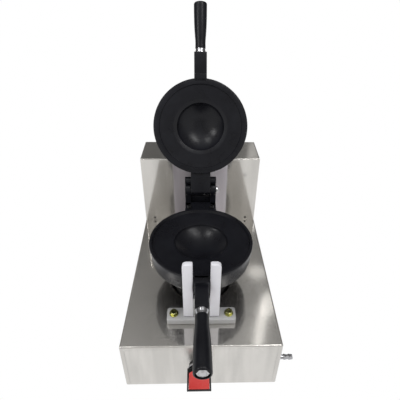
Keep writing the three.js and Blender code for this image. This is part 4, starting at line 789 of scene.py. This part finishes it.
class BURGER_OT_hinge(bpy.types.Operator):
    """Builds the hinge: yoke, tongue, pin and clamp screws"""
    bl_idname = "burger_maker.hinge"
    bl_label = "Build Hinge"

    def execute(self, context):
        yoke = Shell()
        low, top = AXIS - 14.0, AXIS - 3.2
        edge = context.scene.burger_shapes.edge * 1000
        plate(yoke, saddle(YOKE_HALF, 258.0), low, top, "z", edge)
        back = PIN[0] + EAR_RADIUS
        ear = np.vstack([
            [[EAR_FOOT, low], [back, low], [back, PIN[1] + EAR_RADIUS]],
            arc(PIN, EAR_RADIUS, 90, 221.4), [[255.0, top], [EAR_FOOT, top]],
        ])
        for side, where in SIDES:
            plate(yoke, ear, *sorted((side * 19.5, side * YOKE_HALF)), "x", 0.7)
        rounded_box(yoke, (-YOKE_HALF, 262.0, AXIS - 16.0), (YOKE_HALF, 280.0, AXIS + 8.0), 1.2)
        lathe(yoke, SHAFT_BOSS, "y", (0, 0, AXIS))
        piece("yoke_casting", yoke, "mould_set", "non_stick", "hinge_yoke")

        tongue = Shell()
        low, top = AXIS + 3.7, AXIS + 14.4
        plate(tongue, saddle(TONGUE_HALF, 240.0), low, top, "z", 0.5)
        y, z = STOP_BARREL
        web = np.vstack([
            [[WEB_FOOT, AXIS + 4.2], [PIN[0] + 4.0, PIN[1] - 13.7]], arc(PIN, 11.5, -37.4, 150, 40),
            [[y + 4.0, z + 4.0], [y, top], [WEB_FOOT, top]],
        ])
        plate(tongue, web, -TONGUE_HALF, TONGUE_HALF, "x", 0.8)
        lathe(tongue, rod(7.5, -YOKE_HALF, YOKE_HALF, 0.6), "x", (0, y, z))
        piece("tongue_casting", tongue, "lid", "non_stick", "hinge_tongue")

        turned("pin_turned", HEADED_PIN, "x", (0, *PIN), "mould_set", "steel", "hinge_pin")
        for name, body, x, y, seat in (
            ("yoke", "mould_set", 22.0, 237.0, AXIS - 2.9),
            ("tongue", "lid", 12.0, 231.7, AXIS + 25.1),
        ):
            for side, where in SIDES:
                turned(f"{name}_cap_screw_{where}", CAP_SCREW, "z", (side * x, y, seat), body,
                       "black_steel", f"{name}_screw_{where}", 48)
        return {"FINISHED"}


# Fork, ball socket and gas parts

def pan_head(place, axis, way, radius=3.4, height=2.0):
    """Pan head with a cross recess: h = dome(r), less 0.9 where |x| or |y| is under 0.42 and r < 0.6 R."""
    u = np.linspace(0, 2 * np.pi, 72, endpoint=False)
    t = np.linspace(1, 0.04, 15)[:, None]
    x, y = t * radius * np.cos(u), t * radius * np.sin(u)
    dome = height * (1 - t ** 4) ** 0.5 * np.ones_like(x)
    cross = (np.minimum(abs(x), abs(y)) < 0.42) & (t < 0.6)
    h = np.where(cross, dome - 0.9, dome)
    x, y, h = (np.vstack(pair) for pair in ((x[:1], x), (y[:1], y), (np.full_like(h[:1], -0.2), h)))
    return Shell().loft(placed(x, y, h * way, axis, place))


ARM_FRONT, ARM_BACK = 44.5, 52.5
# Profiles from the seat of each
BOLT_HEAD = [(0, 0), (5.8, 0), (5.8, 3.2), (5.3, 3.7), (4.8, 3.95), (4.4, 4.0), (2.4, 3.7), (0, 3.6)]
BOLT_SHANK = [(0, -21.7), (2.6, -21.7), (3.0, -21.2), (3.0, 1.0), (0, 1.0)]
WASHER = [(3.3, 0), (7.0, 0), (7.2, 0.2), (7.2, 1.2), (6.9, 1.5), (3.3, 1.5), (3.3, 0)]


class BURGER_OT_fork(bpy.types.Operator):
    """Builds the fork: base plate, arms and their web, rest pin, bolts and washers"""
    bl_idname = "burger_maker.fork"
    bl_label = "Build Fork"

    def execute(self, context):
        edge = context.scene.burger_shapes.edge * 1000
        top = DECK + 11.8
        head = DECK + 126.0
        outline = oblong((-55.6, 38.8), (55.6, 63.0), 4)
        base = plate(Shell(), outline, DECK + 0.3, DECK + 11.5, "z", edge)
        piece("fork_foot", base, "chassis", "cast_aluminium", "fork_base")
        seat = top + 1.8
        for side, where in SIDES:
            near, far = side * 13.1, side * 28.7
            corners = [(near, top, 0.8), (far, top, 0.8), (far, head, 6.5), (near, head, 2.6)]
            arm = plate(Shell(), arc_corners(corners, 8), ARM_FRONT, ARM_BACK, "y", edge)
            # The arms take the lighter copy of the aluminium: painted light on their lit front faces
            piece(f"fork_arm_cast_{where}", arm, "chassis", "cast_aluminium", f"fork_arm_{where}",
                  look="milled_aluminium")
            x, y = side * 44.4, 50.9
            bolt = lathe(Shell(), BOLT_HEAD, "z", (x, y, seat), 96, hex_wave(10.0))
            lathe(bolt, BOLT_SHANK, "z", (x, y, seat), 48)
            piece(f"fork_hex_bolt_{where}", bolt, "chassis", "yellow_zinc", f"fork_bolt_{where}")
            turned(f"fork_disc_{where}", WASHER, "z", (x, y, top), "chassis", "yellow_zinc",
                   f"fork_washer_{where}", 96)
        web = rounded_box(Shell(), (-12.8, ARM_FRONT, top), (12.8, ARM_BACK, DECK + 54.0), 1.0)
        piece("fork_web_cast", web, "chassis", "cast_aluminium", "fork_web")
        middle = (0, (ARM_FRONT + ARM_BACK) / 2, AXIS - 25.3)
        turned("fork_rest_turned", rod(3.0, -29.0, 29.0, 0.3), "x", middle, "chassis", "black_steel",
               "fork_rest_pin", 48)
        return {"FINISHED"}


BALL_RADIUS, BALL_Y = 15.0, 322.0
SHAFT = [(0, 282.2), (5.0, 282.2), (5.0, 292.3), (11.4, 292.3), (12.0, 292.8), (12.0, 297.8),
         (11.4, 298.3), (8.0, 298.3)]
FLANGE_FRONT, SCREW_CIRCLE = 310.3, 22.6
FLANGE = [(12.6, 0.4), (13.0, 0), (17.4, 0), (18.0, 0.3), (18.6, 0.9), (25.3, 0.9), (26.2, 1.3),
          (26.5, 2.1), (26.5, 5.4), (19.0, 5.4), (19.0, 11.5), (15.5, 11.5), (14.9, 7.3), (13.6, 4.3),
          (12.6, 2.6), (12.6, 0.4)]


class BURGER_OT_socket(bpy.types.Operator):
    """Builds the ball-ended shaft and the socket's flange"""
    bl_idname = "burger_maker.socket"
    bl_label = "Build Ball Socket"

    def execute(self, context):
        ball = [(BALL_RADIUS * math.sin(a), BALL_Y - BALL_RADIUS * math.cos(a))
                for a in np.linspace(math.asin(8 / BALL_RADIUS), math.pi - 0.05, 20)]
        turned("shaft_turned", [*SHAFT, *ball, (0, BALL_Y + BALL_RADIUS)], "y", (0, 0, AXIS),
               "mould_set", "steel", "turning_shaft")
        turned("socket_flange", FLANGE, "y", (0, FLANGE_FRONT, AXIS), "chassis", "cast_iron",
               "socket_front")
        for i, where in enumerate(("top", "left", "right")):
            angle = math.pi / 2 + 2 * math.pi * i / 3
            x, z = SCREW_CIRCLE * math.cos(angle), AXIS + SCREW_CIRCLE * math.sin(angle)
            place = (x, FLANGE_FRONT + 0.4, z)
            piece(f"socket_pan_screw_{where}", pan_head(place, "y", -1), "chassis", "steel",
                  f"socket_screw_{where}")
        return {"FINISHED"}


# Profiles from the underside of the cap's rim, and from just outside the body's side
BURNER_CAP = [(0, 3.6), (36.0, 2.6), (39.0, -3.0), (45.7, -3.0), (45.7, 0), (49.6, 0), (50.0, 0.5),
              (50.0, 2.0), (49.3, 3.0), (47.6, 4.3), (44.0, 5.6), (40.0, 6.4), (30.0, 7.3),
              (16.0, 7.8), (0, 8.0)]
BARB = [(2.2, -7.3), (5.6, -7.3), (6.0, -6.8), (6.0, 0), (6.9, 0), (7.2, 0.4), (7.2, 1.8), (6.8, 2.2),
        (3.6, 2.4), (3.6, 8.7), (4.6, 10.0), (4.7, 10.5), (4.5, 10.9), (3.8, 14.6), (3.6, 16.3),
        (4.6, 18.0), (4.7, 18.5), (4.5, 18.9), (4.0, 23.7), (3.7, 24.0), (2.2, 24.0), (2.2, -7.3)]


def ports(u, r, h):
    """Port dents: w = 0.9 within each of 24 narrow windows on the cap's shoulder."""
    return np.where((np.cos(24 * u) > 0.55) & (h > 2.2) & (r > 38), 0.9, 1.0)


class BURGER_OT_gas(bpy.types.Operator):
    """Builds the burner cap and the inlet barb"""
    bl_idname = "burger_maker.gas"
    bl_label = "Build Gas Parts"

    def execute(self, context):
        turned("burner_cap_cast", BURNER_CAP, "z", (0, CENTRE_Y, DECK - 5.7), "chassis", "cast_iron",
               "burner_cap", 384, ports)
        turned("inlet_barb_turned", BARB, "x", (HALF + 0.3, *INLET), "chassis", "chrome", "inlet_barb")
        return {"FINISHED"}


# Knob and body screws

CORE_HALF, CORE_START, CORE_END = 15.2, -16.4, -43.1
CORE_ROUNDING = 0.5


def dished_core():
    """Knob core: z = +-(2.45 + 3.9 ((y - end) / (start - end))^1.8), from y = start - 5 (x / half)^2."""
    turn = np.linspace(0, np.pi / 2, 5)
    sides = CORE_HALF - CORE_ROUNDING * (1 - np.sin(turn))
    drop = CORE_ROUNDING * (1 - np.cos(turn))
    inner = np.linspace(-1, 1, 25)[1:-1] * (CORE_HALF - CORE_ROUNDING)
    x = np.concatenate([-sides[::-1], inner, sides])[:, None]
    lower = np.concatenate([drop[::-1], 0 * inner, drop])[:, None]
    share = np.concatenate([np.linspace(0, 0.03, 4), np.linspace(0.06, 0.97, 18),
                            np.linspace(0.98, 1, 3)])
    first = CORE_START - 5.0 * (x / CORE_HALF) ** 2
    y = first + (CORE_END - first) * share
    slope = np.maximum((y - CORE_END) / (CORE_START - CORE_END), 0.0)
    short = np.maximum(CORE_ROUNDING - np.minimum(abs(y - first), abs(y - CORE_END)), 0.0)
    h = 2.45 + 3.9 * slope ** 1.8 - lower - (CORE_ROUNDING - np.sqrt(CORE_ROUNDING ** 2 - short ** 2))
    top, bottom = (np.stack([KNOB[0] + x + 0 * y, y, KNOB[1] + way * h], -1) for way in (1, -1))
    return Shell().loft(np.concatenate([top, bottom[:, ::-1]], 1))


KNOB_BASE = [(13.5, -5.0), (15.0, -5.0), (15.5, -5.4), (15.5, -10.0), (15.0, -10.6), (14.0, -10.6),
             (14.0, -13.6), (13.4, -15.2), (12.4, -16.0), (0, -16.0)]
KNOB_RING = [(14.3, -10.8), (16.6, -10.8), (17.0, -11.2), (17.0, -13.2), (16.6, -13.6), (14.3, -13.6),
             (14.3, -10.8)]
# Lower halves of outlines as (y, height under the middle, corner radius)
CHEEK = [(-14.5, 7.0, 1.0), (-43.6, 2.6, 1.0), (-44.6, 1.6, 0.8)]
TIP = [(-43.2, 2.5, 0.5), (-44.6, 1.5, 0.8)]
NECK = [(-14.5, 6.9, 0.5), (-16.2, 6.65, 0.5)]
SHELF = [(-15.5, 4.6, 0.5), (-22.4, 4.6, 0.5)]
BETWEEN_CHEEKS = (-16.6, 16.6)


class BURGER_OT_knob(bpy.types.Operator):
    """Builds the gas knob: flanged base with two cheeks, tip, neck and shelf, its core and its ring"""
    bl_idname = "burger_maker.knob"
    bl_label = "Build Knob"

    def execute(self, context):
        place = (KNOB[0], 0, KNOB[1])
        body = lathe(Shell(), KNOB_BASE, "y", place)
        for half, (left, right), edge in (
            (CHEEK, (-17.8, -15.5), 0.6), (CHEEK, (15.5, 17.8), 0.6),
            (TIP, BETWEEN_CHEEKS, 0.3), (NECK, BETWEEN_CHEEKS, 0.4), (SHELF, BETWEEN_CHEEKS, 0.3),
        ):
            corners = [(y, KNOB[1] - z, r) for y, z, r in half]
            corners += [(y, KNOB[1] + z, r) for y, z, r in reversed(half)]
            plate(body, arc_corners(corners, 4), KNOB[0] + left, KNOB[0] + right, "x", edge)
        piece("knob_moulded", body, "knob", "knob_black", "knob_body")
        piece("knob_core_moulded", dished_core(), "knob", "knob_red", "knob_core")
        turned("knob_ring_turned", KNOB_RING, "y", place, "knob", "chrome", "knob_ring")
        return {"FINISHED"}


class BURGER_OT_trim(bpy.types.Operator):
    """Adds the small screws of the body"""
    bl_idname = "burger_maker.trim"
    bl_label = "Add Body Screws"

    def execute(self, context):
        for side, where in SIDES:
            # Black heads: painted shade, the dark shadow and reflection at the seam where the tower meets
            # the deck
            foot = pan_head((side * 104.0, DEEP - 0.05, DECK + 6.0), "y", -1, 2.4, 1.4)
            piece(f"tower_foot_screw_{where}", foot, "chassis", "black_steel")
            for level, z in (("low", 29.5), ("middle", 145.15), ("high", 260.8)):
                screw = pan_head((side * 118.8, BACK + 1.5, z), "y", 1)
                piece(f"cover_screw_{level}_{where}", screw, "chassis", "steel")
        return {"FINISHED"}


# Studio

# Camera: focal length and optical middle in pixels of a square frame, place, and angles in degrees
FRAME = 400
SENSOR = 36.0
FOCAL, MIDDLE = 329.015, (206.425, 187.146)
EYE_PLACE = (-5.417, -294.526, 577.541)
YAW, PITCH, ROLL = 1.768, 31.860, 0.839
FLOOR_HALF = 6.0
# Lamps: setting, place, aim, width and height in metres
LAMPS = {
    "Key": ("key_power", (0.42, -0.25, 1.38), (0, 0.1, 0.2), 0.22, 0.7),
    "Fill": ("fill_power", (-0.87, -0.35, 1.0), (0, 0.1, 0.3), 0.3, 0.3),
    "Ceiling": ("ceiling_power", (-0.42, -0.09, 1.3), (0, 0, 0.2), 0.2, 0.2),
}
# Bright panes of the room, as azimuth from the rear, elevation, width and height in degrees, and power
WINDOWS = (
    (16.9, 54.5, 1.5, 5.0, 1.9),
    (17.9, 50.2, 2.4, 2.4, 1.5),
    (14.2, 45.6, 2.8, 1.2, 1.3),
    (11.2, 37.6, 1.8, 1.6, 2.2),
    (10.6, 27.0, 1.4, 6.0, 0.6),
    (-30.0, 42.0, 7.0, 12.0, 0.25),
    (-175.0, 56.0, 7.0, 7.0, 0.8),
    (135.0, 10.0, 32.0, 28.0, 0.55),
    (-135.0, 10.0, 32.0, 28.0, 0.55),
)


def add_camera(scene):
    """Sets the camera from its yaw, pitch and roll: columns right, up and back, and its place."""
    camera = bpy.data.cameras.new("Camera")
    camera.sensor_width = SENSOR
    camera.lens = FOCAL / FRAME * SENSOR
    camera.shift_x = (FRAME / 2 - MIDDLE[0]) / FRAME
    camera.shift_y = (MIDDLE[1] - FRAME / 2) / FRAME
    camera.clip_start = 0.01
    yaw, pitch, roll = (math.radians(v) for v in (YAW, PITCH, ROLL))
    level = math.cos(pitch)
    ahead = Vector((math.sin(yaw) * level, math.cos(yaw) * level, -math.sin(pitch)))
    right = Vector((math.cos(yaw), -math.sin(yaw), 0))
    up = right.cross(ahead)
    right, up = (math.cos(roll) * right + math.sin(roll) * up,
                 -math.sin(roll) * right + math.cos(roll) * up)
    pose = Matrix((right, up, -ahead)).transposed().to_4x4()
    pose.translation = to_row(EYE_PLACE)
    scene.camera = linked("Camera", camera)
    scene.camera.matrix_world = pose


def seen_white(tree, shader, white, *kinds):
    """A shader that is white to these kinds of ray: a mix by their sum."""
    ray = node(tree, "LightPath").outputs
    direct = maths(tree, "ADD", *(ray[kind] for kind in kinds), clamp=True)
    return node(tree, "MixShader", {0: direct, 1: shader.outputs[0], 2: white.outputs[0]}).outputs[0]


def add_floor(glow):
    """Pale floor, which camera, glossy and transmission rays see white."""
    mesh = bpy.data.meshes.new("Floor")
    corners = [(x * FLOOR_HALF, y * FLOOR_HALF, 0) for x, y in ((-1, -1), (1, -1), (1, 1), (-1, 1))]
    mesh.from_pydata(corners, [], [(0, 1, 2, 3)])
    floor = linked("Floor", mesh)
    floor.location.z = -0.0002
    material, tree, shader, place = fresh("Pale floor")
    tone = cast_skin(tree, Vector=place, Grain_Size=60.0, Pores=0.0)["Mottle"]
    for name, value in (
        ("Base Color", mixed(tree, tone, (0.86, 0.86, 0.86), (0.88, 0.88, 0.88))),
        ("Roughness", 0.8), ("Emission Color", (1, 1, 1)), ("Emission Strength", glow),
    ):
        feed(tree, shader[name], value)
    feed(tree, tree.nodes["Material Output"].inputs[0], seen_white(
        tree, tree.nodes["Principled BSDF"], node(tree, "Emission"), "Is Camera Ray",
        "Is Transmission Ray", "Is Glossy Ray"))
    floor.data.materials.append(material)


def add_lamps(studio):
    """Rectangular lamps that the camera doesn't see."""
    for name, (setting, place, aim, width, height) in LAMPS.items():
        lamp = bpy.data.lights.new(name, "AREA")
        lamp.shape = "RECTANGLE"
        lamp.size, lamp.size_y = width, height
        lamp.energy = getattr(studio, setting)
        obj = linked(name, lamp)
        obj.location = place
        obj.rotation_euler = (Vector(aim) - Vector(place)).to_track_quat("-Z", "Y").to_euler()
        obj.visible_camera = False


def add_room(scene, studio):
    """Soft room with panes, brighter to the front and top. Camera and transmission rays see white."""
    world = bpy.data.worlds.new("Studio")
    world.use_nodes = True
    scene.world = world
    tree = world.node_tree
    tree.nodes.clear()
    way = node(tree, "TexCoord").outputs["Generated"]
    part = split(tree, way)
    front = span(tree, part["Y"], 0.25, -0.6)
    level = span(tree, front, 0.0, 1.0, studio.rear_level, studio.front_level)
    high = maths(tree, "MULTIPLY", span(tree, part["Z"], 0.55, 0.95), studio.top_level)
    stripes = maths(tree, "SINE", maths(tree, "MULTIPLY", part["X"], 16.0))
    level = maths(tree, "MULTIPLY", maths(tree, "ADD", level, high),
                  span(tree, stripes, -1.0, 1.0, 0.78, 1.12))
    for azimuth, elevation, width, height, power in WINDOWS:
        pane = window_pane(tree, Vector=way, Azimuth=azimuth, Elevation=elevation, Width=width,
                           Height=height)["Mask"]
        level = maths(tree, "ADD", level, maths(tree, "MULTIPLY", pane, power))
    around = node(tree, "Background", {"Color": (1.0, 0.99, 0.97), "Strength": level})
    plain = node(tree, "Background", {"Color": (1, 1, 1), "Strength": 1.0})
    node(tree, "OutputWorld", {
        0: seen_white(tree, around, plain, "Is Camera Ray", "Is Transmission Ray")})


class BURGER_OT_stage(bpy.types.Operator):
    """Builds the studio: camera, floor, lights and surroundings"""
    bl_idname = "burger_maker.stage"
    bl_label = "Build Studio"

    def execute(self, context):
        scene = context.scene
        add_camera(scene)
        add_floor(scene.burger_stage.floor_glow)
        add_lamps(scene.burger_stage)
        add_room(scene, scene.burger_stage)
        scene.view_settings.view_transform = "Standard"
        return {"FINISHED"}


class BURGER_PT_panel(bpy.types.Panel):
    """Sidebar panel with the settings and the build steps"""
    bl_idname = "BURGER_PT_panel"
    bl_label = "Burger Maker"
    bl_space_type = "VIEW_3D"
    bl_region_type = "UI"
    bl_category = "Burger Maker"

    def draw(self, context):
        for group, kind in SETTINGS:
            settings = getattr(context.scene, group)
            box = self.layout.box()
            for name in settings.bl_rna.properties.keys():
                if name not in ("rna_type", "name"):
                    box.prop(settings, name)
        for operator in OPERATORS:
            self.layout.operator(operator.bl_idname)


SETTINGS = (
    ("burger_finishes", BurgerFinishSettings),
    ("burger_shapes", BurgerShapeSettings),
    ("burger_stage", BurgerStageSettings),
)
OPERATORS = (
    BURGER_OT_solids, BURGER_OT_moulds, BURGER_OT_handles, BURGER_OT_hinge, BURGER_OT_fork,
    BURGER_OT_socket, BURGER_OT_gas, BURGER_OT_knob, BURGER_OT_trim, BURGER_OT_stage,
)


def register():
    """Registers the settings, operators and panel."""
    for name, kind in SETTINGS:
        bpy.utils.register_class(kind)
        setattr(bpy.types.Scene, name, bpy.props.PointerProperty(type=kind))
    for kind in (*OPERATORS, BURGER_PT_panel):
        bpy.utils.register_class(kind)


def unregister():
    """Removes what register() added."""
    for kind in reversed((*OPERATORS, BURGER_PT_panel)):
        bpy.utils.unregister_class(kind)
    for name, kind in reversed(SETTINGS):
        delattr(bpy.types.Scene, name)
        bpy.utils.unregister_class(kind)


def main():
    """Builds everything by the operators, in order."""
    register()
    for operator in OPERATORS:
        group, name = operator.bl_idname.split(".")
        if getattr(getattr(bpy.ops, group), name)() != {"FINISHED"}:
            raise RuntimeError(f"{operator.bl_label} failed")


if __name__ == "__main__":
    main()
